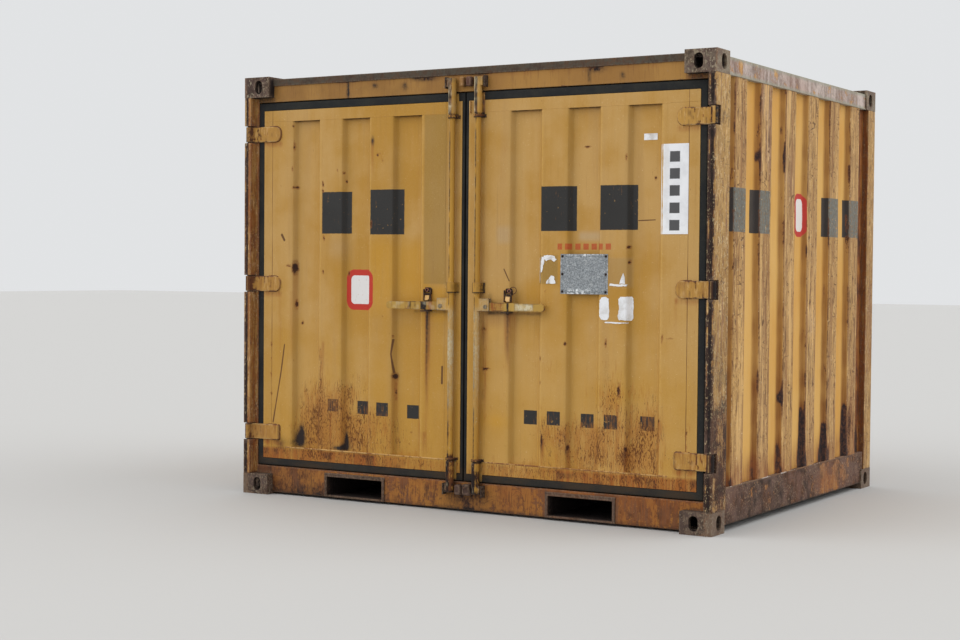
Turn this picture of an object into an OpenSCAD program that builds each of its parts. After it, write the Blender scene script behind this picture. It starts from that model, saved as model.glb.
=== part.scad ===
// Ten-foot steel shipping container with double doors in one long side.
// Origin: centre of the footprint, on the ground. +X along the door side,
// +Y from the door side to the closed side, +Z up. Millimetres.

/* [Container] */
// Outside length along the door side
length_x = 2991; // [2900:1:3100]
// Outside depth from door side to closed side
depth_y = 2438; // [2400:1:2480]
// Outside height over the corner fittings
height_z = 2438; // [2400:1:2591]
// Thickness of the pressed steel sheets
sheet_t = 3; // [2:0.5:4]
// Thickness of the floor boards
floor_t = 28; // [20:1:30]

/* [Corner fittings] */
// Length of a fitting along X
fit_x = 178; // [170:1:186]
// Width of a fitting along Y
fit_y = 162; // [156:1:168]
// Height of a fitting
fit_z = 118; // [112:1:124]
// Wall thickness of a fitting
fit_wall = 28; // [20:1:30]
// Distance of the slots from the end of the container
slot_from_end = 101.5; // [98:0.5:104]
// Distance of the slots from the door side or closed side
slot_from_side = 89; // [86:0.5:92]
// Length of the slots in the top and bottom faces
slot_long = 124; // [120:1:126]
// Width of the slots in the top and bottom faces
slot_wide = 63.5; // [60:0.5:66]

/* [Frame] */
// Height of the underside of the sills above the ground
rail_gap = 12.5; // [8:0.5:16]
// Height of the top of the door sill
sill_top = 165; // [155:1:170]
// Height of the underside of the door header
header_bottom = 2294; // [2290:1:2300]
// Recess of the header and sill faces behind the fittings
face_recess = 49; // [45:1:52]
// Width of the front face of a door post
post_face = 46.5; // [44:0.5:50]
// Depth of a door post along Y
post_depth = 174; // [160:1:190]
// Wall thickness of the posts
post_t = 6; // [5:0.5:8]

/* [Corrugation] */
// Distance between one pressed rib and the next
rib_pitch = 352; // [340:1:360]
// Width of the outer flat of a rib
rib_flat = 152; // [140:1:160]
// Depth of the ribs
rib_depth = 26; // [20:1:32]
// Width of each sloping side of a rib
rib_slope = 22; // [18:1:30]
// Distance of the wall ribs inside the face of the fittings
wall_recess = 9.5; // [6:0.5:12]

/* [Fork pockets] */
// Distance of the pocket centres from the middle
pocket_x = 726; // [700:1:750]
// Inside width of a pocket
pocket_w = 383; // [360:1:400]
// Inside height of a pocket
pocket_h = 105; // [100:1:110]
// Height of the pocket floor
pocket_z = 25; // [22:1:28]

/* [Doors] */
// Outer edge of a door leaf, from the middle
leaf_out = 1387; // [1380:1:1390]
// Inner edge of a door leaf, from the middle
leaf_in = 22; // [20:1:26]
// Bottom edge of a door leaf
leaf_bottom = 212; // [210:1:216]
// Top edge of a door leaf
leaf_top = 2243; // [2238:1:2246]
// Thickness of a door leaf
leaf_t = 50; // [40:1:52]
// Distance of the hinge pins inside the corner of the post
pin_inset = 20; // [19.5:0.5:20.5]
// Radius of a hinge pin
pin_r = 11; // [9:0.5:12]
// Height of a hinge blade
blade_h = 88; // [80:1:96]

/* [Lock gear] */
// Position of the lock rod on the left door
rod_x_left = -68; // [-72:1:-66]
// Position of the lock rod on the right door
rod_x_right = 97; // [94:1:100]
// Radius of a lock rod
rod_r = 17; // [15:0.5:17]
// Length of a handle from the lock rod to its free end
handle_len = 420; // [400:1:430]
// Height of a handle bar
handle_h = 44; // [38:1:46]

// Distance of the handle cradle from the rod, left door
cradle_left = 166; // [150:1:170]
// Distance of the handle cradle from the rod, right door
cradle_right = 185; // [160:1:190]

/* [Hidden] */
hx = length_x / 2;
hy = depth_y / 2;
H = height_z;
e = 0.01;
run = 0.05;                       // running clearance at pins and rods
door_y = -hy + face_recess + 1;   // outer plane of the door leaves
face_y = -hy + face_recess;       // outer plane of header and sill
frame_in = hx - post_face - 18;   // inner edge of a door post
pin_x = hx - pin_inset;
pin_y = -hy + pin_inset;
hinge_z = [365, 1235, 2107];
rod_y = door_y - 29;              // axis of the lock rods
rail_z = H - fit_z;               // underside of the top fittings
handle_z = 1127;
handle_y = rod_y;                 // middle plane of the handles
pocket_wall = 6;
clear = 5;                        // gap between pieces that move apart
$fn = 48;

// ---------- helpers ----------

// box given by its lowest and highest corners
module box(a, b) translate(a) cube(b - a);

// slot along X with round ends, w across, l long, centred
module slot2d(l, w) {
  square([l - w, w], center = true);
  for (s = [-1, 1]) translate([s * (l - w) / 2, 0]) circle(r = w / 2);
}

// the piece itself on the right, its mirror image on the left
module side(s) mirror([s < 0 ? 1 : 0, 0, 0]) children();

// outline of a ribbed sheet: runs from a to b along the first axis, outer
// flats at 0, pressed flats at -rib_depth, thickness t towards the inside
function rib_line(a, b, centres, flat, lift, base) =
  concat([[a, base]],
    [for (c = centres) for (p = [[c - flat / 2 - rib_slope, base], [c - flat / 2, lift],
                                 [c + flat / 2, lift], [c + flat / 2 + rib_slope, base]]) p],
    [[b, base]]);

module rib_sheet2d(a, b, centres, flat, lift, base, t) {
  line = rib_line(a, b, centres, flat, lift, base);
  n = len(line);
  polygon(concat(line, [for (i = [n - 1 : -1 : 0]) line[i] - [0, t]]));
}

// ---------- corner fittings ----------

// one fitting in its corner, hollow, slots in three faces; body spans
// x 0..fit_x inward from the end, y 0..fit_y inward from the side
module fitting() {
  difference() {
    cube([fit_x, fit_y, fit_z]);
    translate([fit_wall, fit_wall, fit_wall])
      cube([fit_x - fit_wall - 12, fit_y - fit_wall - 12, fit_z - 2 * fit_wall]);
    // slot in the top or bottom face
    translate([slot_from_end, slot_from_side, -1])
      linear_extrude(fit_wall + 2) slot2d(slot_long, slot_wide);
    // slot in the side face, 51 wide, 79 high
    translate([slot_from_end, fit_wall + 1, fit_z / 2])
      rotate([90, 90, 0]) linear_extrude(fit_wall + 2) slot2d(79, 51);
    // slot in the end face, 63.5 wide, 79 high
    translate([-1, slot_from_side, fit_z / 2])
      rotate([0, 90, 0]) linear_extrude(fit_wall + 2) slot2d(79, 63.5);
  }
}

module fitting_set() {
  for (sx = [0, 1], sy = [0, 1])
    mirror([sx, 0, 0]) mirror([0, sy, 0])
      translate([-hx, -hy, 0]) fitting();
}

module corner_fittings_bottom() color([0.45, 0.38, 0.33]) fitting_set();

module corner_fittings_top() color([0.45, 0.38, 0.33])
  translate([0, 0, H]) mirror([0, 0, 1]) fitting_set();

// ---------- posts ----------

// right door post: a hollow folded section with a step for the door seal
module door_post() color([0.50, 0.40, 0.34]) {
  t = post_t;
  difference() {
    translate([0, 0, fit_z]) linear_extrude(rail_z - fit_z) difference() {
      polygon([[hx, -hy], [hx - post_face, -hy], [hx - post_face, door_y + clear],
               [frame_in, door_y + clear], [frame_in, -hy + post_depth], [hx, -hy + post_depth]]);
      polygon([[hx - t, -hy + t], [hx - post_face + t, -hy + t],
               [hx - post_face + t, door_y + clear], [hx - t, door_y + clear]]);
      polygon([[hx - t, door_y + clear + t], [frame_in + t, door_y + clear + t],
               [frame_in + t, -hy + post_depth - t], [hx - t, -hy + post_depth - t]]);
    }
    // a pocket for each hinge knuckle
    for (z = hinge_z)
      box([hx - post_face - 1, -hy - 1, z - blade_h / 2 - clear],
          [hx + 1, door_y + clear, z + blade_h / 2 + clear]);
  }
}

module front_right_post() door_post();
module front_left_post() side(-1) door_post();

module back_post() color([0.50, 0.40, 0.34])
  translate([0, 0, fit_z]) linear_extrude(rail_z - fit_z) difference() {
    polygon([[hx, hy], [hx - 122, hy], [hx - 122, hy - 40], [hx - 40, hy - 40],
             [hx - 40, hy - 122], [hx, hy - 122]]);
    polygon([[hx - post_t, hy - post_t], [hx - 122 + post_t, hy - post_t],
             [hx - 122 + post_t, hy - 40 + post_t], [hx - 40 + post_t, hy - 40 + post_t],
             [hx - 40 + post_t, hy - 122 + post_t], [hx - post_t, hy - 122 + post_t]]);
  }

module rear_right_post() back_post();
module rear_left_post() side(-1) back_post();

// ---------- rails ----------

module pocket_cut(y0, y1, grow) {
  for (s = [-1, 1])
    box([s * pocket_x - pocket_w / 2 - grow, y0, pocket_z - grow],
        [s * pocket_x + pocket_w / 2 + grow, y1, pocket_z + pocket_h + grow]);
}

module door_header() color([0.66, 0.50, 0.24]) {
  // folded plate over the doors, with the top rail along it
  box([-hx + fit_x, face_y, header_bottom], [hx - fit_x, face_y + 60, 2386]);
  box([-hx + fit_x, face_y - 7, 2386], [hx - fit_x, face_y + 60, H - 13]);
  for (s = [-1, 1])
    box([s < 0 ? -frame_in : hx - fit_x - e, face_y, header_bottom],
        [s < 0 ? -hx + fit_x + e : frame_in, face_y + 60, rail_z]);
}

module door_sill() color([0.62, 0.42, 0.22])
  difference() {
    union() {
      box([-hx + fit_x, face_y, rail_gap], [hx - fit_x, face_y + 60, sill_top]);
      box([-frame_in, face_y, fit_z], [frame_in, face_y + 60, sill_top]);
    }
    pocket_cut(face_y - 1, face_y + 61, pocket_wall);
  }

module rear_top_rail() color([0.66, 0.50, 0.24])
  box([-hx + fit_x, hy - 60, rail_z], [hx - fit_x, hy - 7.5, H - 13]);

module rear_bottom_rail() color([0.55, 0.40, 0.28])
  difference() {
    union() {
      box([-hx + fit_x, hy - 58, rail_gap], [hx - fit_x, hy - 7.5, sill_top]);
      box([-hx + 122, hy - 58, fit_z], [hx - 122, hy - 7.5, sill_top]);
    }
    pocket_cut(hy - 59, hy, pocket_wall);
  }

module top_end_rail() color([0.55, 0.42, 0.33]) {
  box([hx - 56, -hy + fit_y, rail_z + 6 - e], [hx - 9.5, hy - fit_y, H - 25]);
  box([hx - 56, -hy + fit_y, rail_z], [hx - 5, hy - fit_y, rail_z + 6]);
}

module right_top_rail() top_end_rail();
module left_top_rail() side(-1) top_end_rail();

module bottom_end_rail() color([0.42, 0.33, 0.27]) {
  box([hx - 56, -hy + fit_y, 36], [hx - 9.5, hy - fit_y, fit_z]);
  box([hx - 56, -hy + post_depth, fit_z], [hx - 9.5, hy - 122, 225]);
}

module right_bottom_rail() bottom_end_rail();
module left_bottom_rail() side(-1) bottom_end_rail();

// ---------- walls and roof ----------

module end_wall() color([0.78, 0.56, 0.22])
  translate([hx - wall_recess, 0, 225]) rotate([0, 0, -90]) mirror([1, 0, 0])
    linear_extrude(rail_z - 225)
      rib_sheet2d(-hy + post_depth, hy - 122, [for (k = [-2.5 : 1 : 2.5]) k * rib_pitch],
                  rib_flat, 0, -rib_depth, sheet_t);

module right_wall() end_wall();
module left_wall() side(-1) end_wall();

module rear_wall() color([0.78, 0.56, 0.22])
  translate([0, hy - wall_recess, sill_top])
    linear_extrude(rail_z - sill_top)
      rib_sheet2d(-hx + 122, hx - 122, [for (k = [-3.5 : 1 : 3.5]) k * rib_pitch],
                  rib_flat, 0, -rib_depth, sheet_t);

module roof_panel() color([0.60, 0.50, 0.34])
  difference() {
    translate([0, hy - 60, H - 15]) rotate([90, 0, 0])
      linear_extrude(2 * hy - 60 - face_recess - 60)
        rib_sheet2d(-hx + 56, hx - 56, [for (k = [-6 : 1 : 6]) k * 209],
                    91, 0, -20, sheet_t);
    for (sx = [0, 1], sy = [0, 1]) mirror([sx, 0, 0]) mirror([0, sy, 0])
      box([hx - fit_x, hy - fit_y, rail_z], [hx, hy, H]);
  }

// ---------- base ----------

module floor_boards() color([0.50, 0.36, 0.22]) {
  box([-frame_in, face_y + 60, sill_top - floor_t], [frame_in, hy - 58, sill_top]);
  box([-hx + 56, -hy + post_depth, sill_top - floor_t], [hx - 56, hy - 58, sill_top]);
}

module cross_members() color([0.40, 0.32, 0.26])
  for (x = [-1290, -1040, -380, -120, 120, 380, 1040, 1290])
    difference() {
      box([x - 22, face_y + 60, 25], [x + 22, hy - 58, sill_top - floor_t]);
      box([x - 17, face_y + 59, 31], [x + 23, hy - 57, sill_top - floor_t - 5]);
    }

module fork_pockets() color([0.55, 0.40, 0.28]) difference() {
  union() {
    pocket_cut(face_y, hy - 7.5, pocket_wall);
    for (s = [-1, 1])
      box([s * pocket_x - pocket_w / 2 - 16, face_y - 9, pocket_z - 11],
          [s * pocket_x + pocket_w / 2 + 16, face_y, pocket_z + pocket_h + 10]);
  }
  pocket_cut(face_y - 20, hy + 1, 0);
}

// ---------- hinge pins and keepers on the frame ----------

module pin_set() {
  t = post_t;
  for (z = hinge_z) {
    translate([pin_x, pin_y, z - blade_h / 2 - clear - 12])
      cylinder(r = pin_r, h = blade_h + 2 * clear + 24);
    for (s = [-1, 1])
      box([hx - post_face + t, -hy + t, z + s * (blade_h / 2 + clear + 6) - 6],
          [hx - t, door_y + clear, z + s * (blade_h / 2 + clear + 6) + 6]);
  }
}

module hinge_pins() color([0.35, 0.28, 0.24]) { pin_set(); side(-1) pin_set(); }

module top_keepers() color([0.50, 0.42, 0.36]) {
  box([-20, face_y - 38, 2318], [52, face_y, 2372]);
  box([rod_x_left - 45, face_y - 38, 2312], [rod_x_left - 37, face_y, 2374]);
  box([rod_x_right + 37, face_y - 38, 2312], [rod_x_right + 45, face_y, 2374]);
}

module bottom_keepers() color([0.42, 0.36, 0.32]) {
  box([rod_x_left + 32, face_y - 38, 95], [-8, face_y, 152]);
  box([16, face_y - 38, 95], [rod_x_right - 32, face_y, 157]);
  box([rod_x_left - 45, face_y - 38, 92], [rod_x_left - 37, face_y, 155]);
  box([rod_x_right + 37, face_y - 38, 92], [rod_x_right + 45, face_y, 155]);
}

// ---------- doors, drawn for the right side ----------

panel_in = 125;
panel_out = 1226;
panel_bottom = 280;
panel_top = 2180;

module door_frame() color([0.80, 0.58, 0.22]) {
  box([leaf_in, door_y, leaf_bottom], [panel_in, door_y + leaf_t, leaf_top]);
  box([panel_out, door_y, leaf_bottom], [leaf_out, door_y + leaf_t, leaf_top]);
  box([panel_in - e, door_y, leaf_bottom], [panel_out + e, door_y + leaf_t, panel_bottom]);
  box([panel_in - e, door_y, panel_top], [panel_out + e, door_y + leaf_t, leaf_top]);
}

// flats flush with the frame, three wide channels pressed inward
module door_panel() color([0.84, 0.60, 0.20])
  translate([0, door_y, panel_bottom]) mirror([0, 1, 0])
    linear_extrude(panel_top - panel_bottom)
      rib_sheet2d(panel_in, panel_out, [for (k = [0 : 2]) 380 + 350 * k],
                  194 - 2 * rib_slope, -rib_depth, 0, sheet_t);

module door_gasket() color([0.13, 0.13, 0.14])
  difference() {
    box([3.5, door_y, sill_top + clear], [frame_in - clear, door_y + 24, header_bottom - clear]);
    box([leaf_in, door_y - 1, leaf_bottom], [leaf_out, door_y + 25, leaf_top]);
  }

module door_hinges() color([0.76, 0.54, 0.22])
  for (z = hinge_z) translate([0, 0, z - blade_h / 2]) difference() {
    linear_extrude(blade_h) {
      translate([pin_x, pin_y]) circle(r = pin_inset - 1);
      polygon([[1264, door_y], [1264, door_y - 10], [1444, door_y - 10],
               [pin_x - 13, pin_y - 13.5], [pin_x, pin_y], [pin_x - 6, pin_y + 17],
               [pin_x - 20, door_y - 1.5], [1438, door_y]]);
    }
    translate([pin_x, pin_y, -1]) cylinder(r = pin_r + run, h = blade_h + 2);
  }

// guides that hold a lock rod at rx; s is the side of the flange
module rod_guides(rx, s) color([0.70, 0.52, 0.26])
  for (g = [[2148, 18, 0], [1200, 57, 1], [283, 14, 0]])
    translate([0, 0, g[0]]) difference() {
      linear_extrude(g[1]) {
        translate([rx, rod_y]) circle(r = 24);
        translate([rx - 24, rod_y]) square([48, door_y - rod_y]);
        translate([rx - 36, door_y - 6]) square([72, 6]);
      }
      translate([rx, rod_y, -1]) cylinder(r = rod_r + run, h = g[1] + 2);
    }

// cradle under the handle, with ears for the swivelling catch and an eye for
// a seal above it; x is the middle of the cradle
flap_z = 1190;
flap_y = door_y - 10;
module handle_catch(x) color([0.46, 0.33, 0.22]) {
  translate([x, door_y, 0]) rotate([90, 0, 0]) linear_extrude(3) difference() {
    polygon([[-25.5, 1094], [25.5, 1094], [25.5, 1218], [18, 1227], [-14, 1227], [-25.5, 1218]]);
    translate([-19, flap_z - 13]) square([38, 24]);
  }
  // shelf below the handle
  box([x - 24, door_y - 46, 1094], [x + 24, door_y - 3 + e, 1100]);
  // eye for a seal
  translate([x + 5, door_y - 3 + e, 1213.5]) rotate([90, 0, 0]) difference() {
    cylinder(r = 11, h = 6);
    translate([0, 0, 1]) cylinder(r = 5.5, h = 6);
  }
  // ears and their pin
  for (s = [-1, 1])
    box([x + s * 21.75 - 2.25, flap_y - 7, 1153], [x + s * 21.75 + 2.25, door_y - 3 + e, flap_z + 27]);
  translate([x - 22, flap_y, flap_z]) rotate([0, 90, 0]) cylinder(r = 3, h = 44);
}

// swivelling catch, drawn hanging behind the handle: a bent plate on the pin
// between the ears
module catch_flap(x) color([0.80, 0.66, 0.42])
  difference() {
    union() {
      translate([x - 17.5, flap_y, flap_z]) rotate([0, 90, 0]) cylinder(r = 6, h = 35);
      translate([x - 14.5, 0, 0]) rotate([90, 0, 90]) linear_extrude(29)
        polygon([[flap_y + 2, flap_z], [flap_y - 2, flap_z], [flap_y - 7.5, flap_z - 32],
                 [flap_y - 7.5, flap_z - 35.5], [flap_y - 4.5, flap_z - 35.5]]);
    }
    translate([x - 19, flap_y, flap_z]) rotate([0, 90, 0]) cylinder(r = 3 + run, h = 38);
    // slanted lower corner
    translate([x - 14.5, flap_y - 6, flap_z - 36]) rotate([0, 45, 0]) cube([15, 16, 15], center = true);
  }

module right_door_plate() color([0.62, 0.62, 0.60])
  box([596, door_y - 2.5, 1203], [876, door_y, 1413]);

// rod with a cam at each end and cheeks for the handle
pivot_dx = 62;
module lock_rod(rx) color([0.74, 0.56, 0.26]) {
  difference() {
    union() {
      translate([rx, rod_y, 107]) cylinder(r = rod_r, h = 2366 - 107);
      translate([rx, rod_y, 2172]) cylinder(r = 22, h = 194);
      translate([rx, rod_y, 107]) cylinder(r = 22, h = 170);
      for (z = [107, 2320])
        box([rx, rod_y - 11, z], [rx + 31, rod_y + 9, z + 46]);
      // cheeks on both faces of the handle
      for (y = [handle_y - 13.5, handle_y + 8.5])
        box([rx, y, handle_z - 24], [rx + pivot_dx + 22, y + 5, handle_z + 44]);
      box([rx + 8, handle_y - 13.5, handle_z + 39], [rx + pivot_dx + 22, handle_y + 13.5, handle_z + 44]);
      // rivet
      translate([rx + pivot_dx, handle_y + 16, handle_z]) rotate([90, 0, 0]) cylinder(r = 6, h = 32);
      translate([rx + pivot_dx, handle_y - 13.5, handle_z]) rotate([90, 0, 0]) cylinder(r = 11, h = 4);
    }
  }
}

module handle(rx) color([0.78, 0.60, 0.28])
  difference() {
    union() {
      box([rx + pivot_dx, handle_y - 6, handle_z - handle_h / 2],
          [rx + 262, handle_y + 6, handle_z + handle_h / 2]);
      translate([rx + pivot_dx, handle_y + 6, handle_z]) rotate([90, 0, 0])
        cylinder(r = handle_h / 2, h = 12);
      box([rx + 262 - e, handle_y - 10, handle_z - handle_h / 2 + 2],
          [rx + handle_len - 18, handle_y + 10, handle_z + handle_h / 2 - 2]);
      translate([rx + handle_len - 18, handle_y + 10, handle_z]) rotate([90, 0, 0])
        intersection() {
          cylinder(r = handle_h / 2 - 2, h = 20);
          translate([-1, -50, -1]) cube([19, 100, 30]);
        }
    }
    translate([rx + pivot_dx, handle_y + 7, handle_z]) rotate([90, 0, 0])
      cylinder(r = 6 + run, h = 14);
  }

module right_door_frame() door_frame();
module left_door_frame() side(-1) door_frame();
module right_door_panel() door_panel();
module left_door_panel() side(-1) door_panel();
module right_door_gasket() door_gasket();
module left_door_gasket() side(-1) door_gasket();
module right_door_hinges() door_hinges();
module left_door_hinges() side(-1) door_hinges();
module right_rod_guides() rod_guides(rod_x_right, 1);
module left_rod_guides() side(-1) rod_guides(-rod_x_left, 1);
module right_handle_catch() handle_catch(rod_x_right + cradle_right);
module left_handle_catch() side(-1) handle_catch(cradle_left - rod_x_left);
module right_lock_rod() lock_rod(rod_x_right);
module left_lock_rod() side(-1) lock_rod(-rod_x_left);
module right_handle() handle(rod_x_right);
module left_handle() side(-1) handle(-rod_x_left);
module right_catch_flap() catch_flap(rod_x_right + cradle_right);
module left_catch_flap() side(-1) catch_flap(cradle_left - rod_x_left);

corner_fittings_top();
corner_fittings_bottom();
front_left_post();
front_right_post();
rear_left_post();
rear_right_post();
door_header();
door_sill();
rear_top_rail();
rear_bottom_rail();
left_top_rail();
right_top_rail();
left_bottom_rail();
right_bottom_rail();
left_wall();
right_wall();
rear_wall();
roof_panel();
floor_boards();
cross_members();
fork_pockets();
hinge_pins();
top_keepers();
bottom_keepers();
left_door_frame();
left_door_panel();
left_door_gasket();
left_door_hinges();
left_rod_guides();
left_handle_catch();
right_door_frame();
right_door_panel();
right_door_gasket();
right_door_hinges();
right_rod_guides();
right_handle_catch();
right_door_plate();
left_lock_rod();
right_lock_rod();
left_handle();
right_handle();
left_catch_flap();
right_catch_flap();
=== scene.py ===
import math

import bmesh
import bpy
import numpy as np
from mathutils import Matrix, Vector


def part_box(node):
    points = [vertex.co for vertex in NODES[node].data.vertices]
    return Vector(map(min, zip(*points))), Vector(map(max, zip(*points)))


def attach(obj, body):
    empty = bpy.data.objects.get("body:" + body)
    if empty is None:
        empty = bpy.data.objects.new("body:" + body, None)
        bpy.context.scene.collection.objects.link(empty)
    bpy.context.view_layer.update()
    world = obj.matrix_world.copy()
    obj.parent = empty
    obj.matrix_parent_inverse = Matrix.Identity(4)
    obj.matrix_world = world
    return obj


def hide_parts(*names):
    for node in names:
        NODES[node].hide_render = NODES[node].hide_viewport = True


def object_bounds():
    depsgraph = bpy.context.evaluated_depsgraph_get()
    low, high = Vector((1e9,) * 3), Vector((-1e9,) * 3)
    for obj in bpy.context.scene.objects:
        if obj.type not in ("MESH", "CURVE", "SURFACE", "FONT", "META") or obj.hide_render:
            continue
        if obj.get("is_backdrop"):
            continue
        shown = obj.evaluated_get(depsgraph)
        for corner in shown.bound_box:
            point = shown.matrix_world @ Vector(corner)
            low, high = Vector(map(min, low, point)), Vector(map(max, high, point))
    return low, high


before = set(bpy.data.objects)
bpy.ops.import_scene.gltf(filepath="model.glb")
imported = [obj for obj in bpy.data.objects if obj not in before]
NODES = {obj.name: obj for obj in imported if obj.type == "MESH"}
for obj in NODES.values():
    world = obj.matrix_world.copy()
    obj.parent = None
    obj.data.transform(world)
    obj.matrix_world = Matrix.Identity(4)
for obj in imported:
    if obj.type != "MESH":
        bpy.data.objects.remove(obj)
cad_lo, cad_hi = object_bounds()

# ---------------------------------------------------------------- numbers, in millimetres like the frame's own drawing
HX, HY, H = 1495.5, 1219.0, 2438.0
DOOR_Y = -1169.0
FACE_Y = -1170.0
LEAF_IN, LEAF_OUT, LEAF_LO, LEAF_HI, LEAF_T = 22.0, 1387.0, 212.0, 2243.0, 50.0
PAN_IN, PAN_OUT, PAN_LO, PAN_HI = 125.0, 1226.0, 280.0, 2180.0
SEAM_X = 1326.0
ROD_L, ROD_R, ROD_Y = -68.0, 97.0, -1198.0
HINGE_Z = (365.0, 1235.0, 2107.0)
RIB_X = 1486.0
RIB_DEPTH = 26.0


def lin(r, g, b):
    out = []
    for c in (r, g, b):
        c /= 255.0
        out.append(c / 12.92 if c <= 0.04045 else ((c + 0.055) / 1.055) ** 2.4)
    return (*out, 1.0)


# ---------------------------------------------------------------- smooth value noise for shapes and wear
def lattice(seed, n=97):
    return np.random.default_rng(seed).random((n, n))


def field(u, v, scale, seed):
    g = lattice(seed)
    n = g.shape[0]
    x, y = np.asarray(u) * scale, np.asarray(v) * scale
    i, j = np.floor(x).astype(int), np.floor(y).astype(int)
    fx, fy = x - i, y - j
    fx, fy = fx * fx * (3 - 2 * fx), fy * fy * (3 - 2 * fy)
    i0, i1, j0, j1 = i % n, (i + 1) % n, j % n, (j + 1) % n
    return (g[i0, j0] * (1 - fx) * (1 - fy) + g[i1, j0] * fx * (1 - fy)
            + g[i0, j1] * (1 - fx) * fy + g[i1, j1] * fx * fy)


def ease(a, lo, hi):
    t = np.clip((a - lo) / (hi - lo), 0, 1)
    return t * t * (3 - 2 * t)


def blob(X, Z, x, z, rx, rz, a=1.0):
    return a * np.exp(-(((X - x) / rx) ** 2 + ((Z - z) / rz) ** 2))


def drip(X, Z, x, top, bottom, w, a=1.0, wander=0.0, power=0.7):
    xx = x + wander * np.sin(Z * 0.021 + x)
    g = np.exp(-(((X - xx) / w) ** 2))
    t = np.clip((top - Z) / (top - bottom), 0, 1)
    return a * g * (1 - t) ** power * ease(top - Z, -12, 4) * (Z > bottom)


def area(X, Z, x0, x1, z0, z1, soft):
    return (ease(X, x0 - soft, x0 + soft) * (1 - ease(X, x1 - soft, x1 + soft))
            * ease(Z, z0 - soft, z0 + soft) * (1 - ease(Z, z1 - soft, z1 + soft)))


# ---------------------------------------------------------------- shader writing
class S:
    """One shader value, so that a mask reads like a formula."""

    def __init__(self, g, out):
        self.g, self.out = g, out

    def __add__(a, b):
        return a.g.m("ADD", a, b)

    __radd__ = __add__

    def __mul__(a, b):
        return a.g.m("MULTIPLY", a, b)

    __rmul__ = __mul__

    def __sub__(a, b):
        return a.g.m("SUBTRACT", a, b)

    def __rsub__(a, b):
        return a.g.m("SUBTRACT", b, a)


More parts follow.
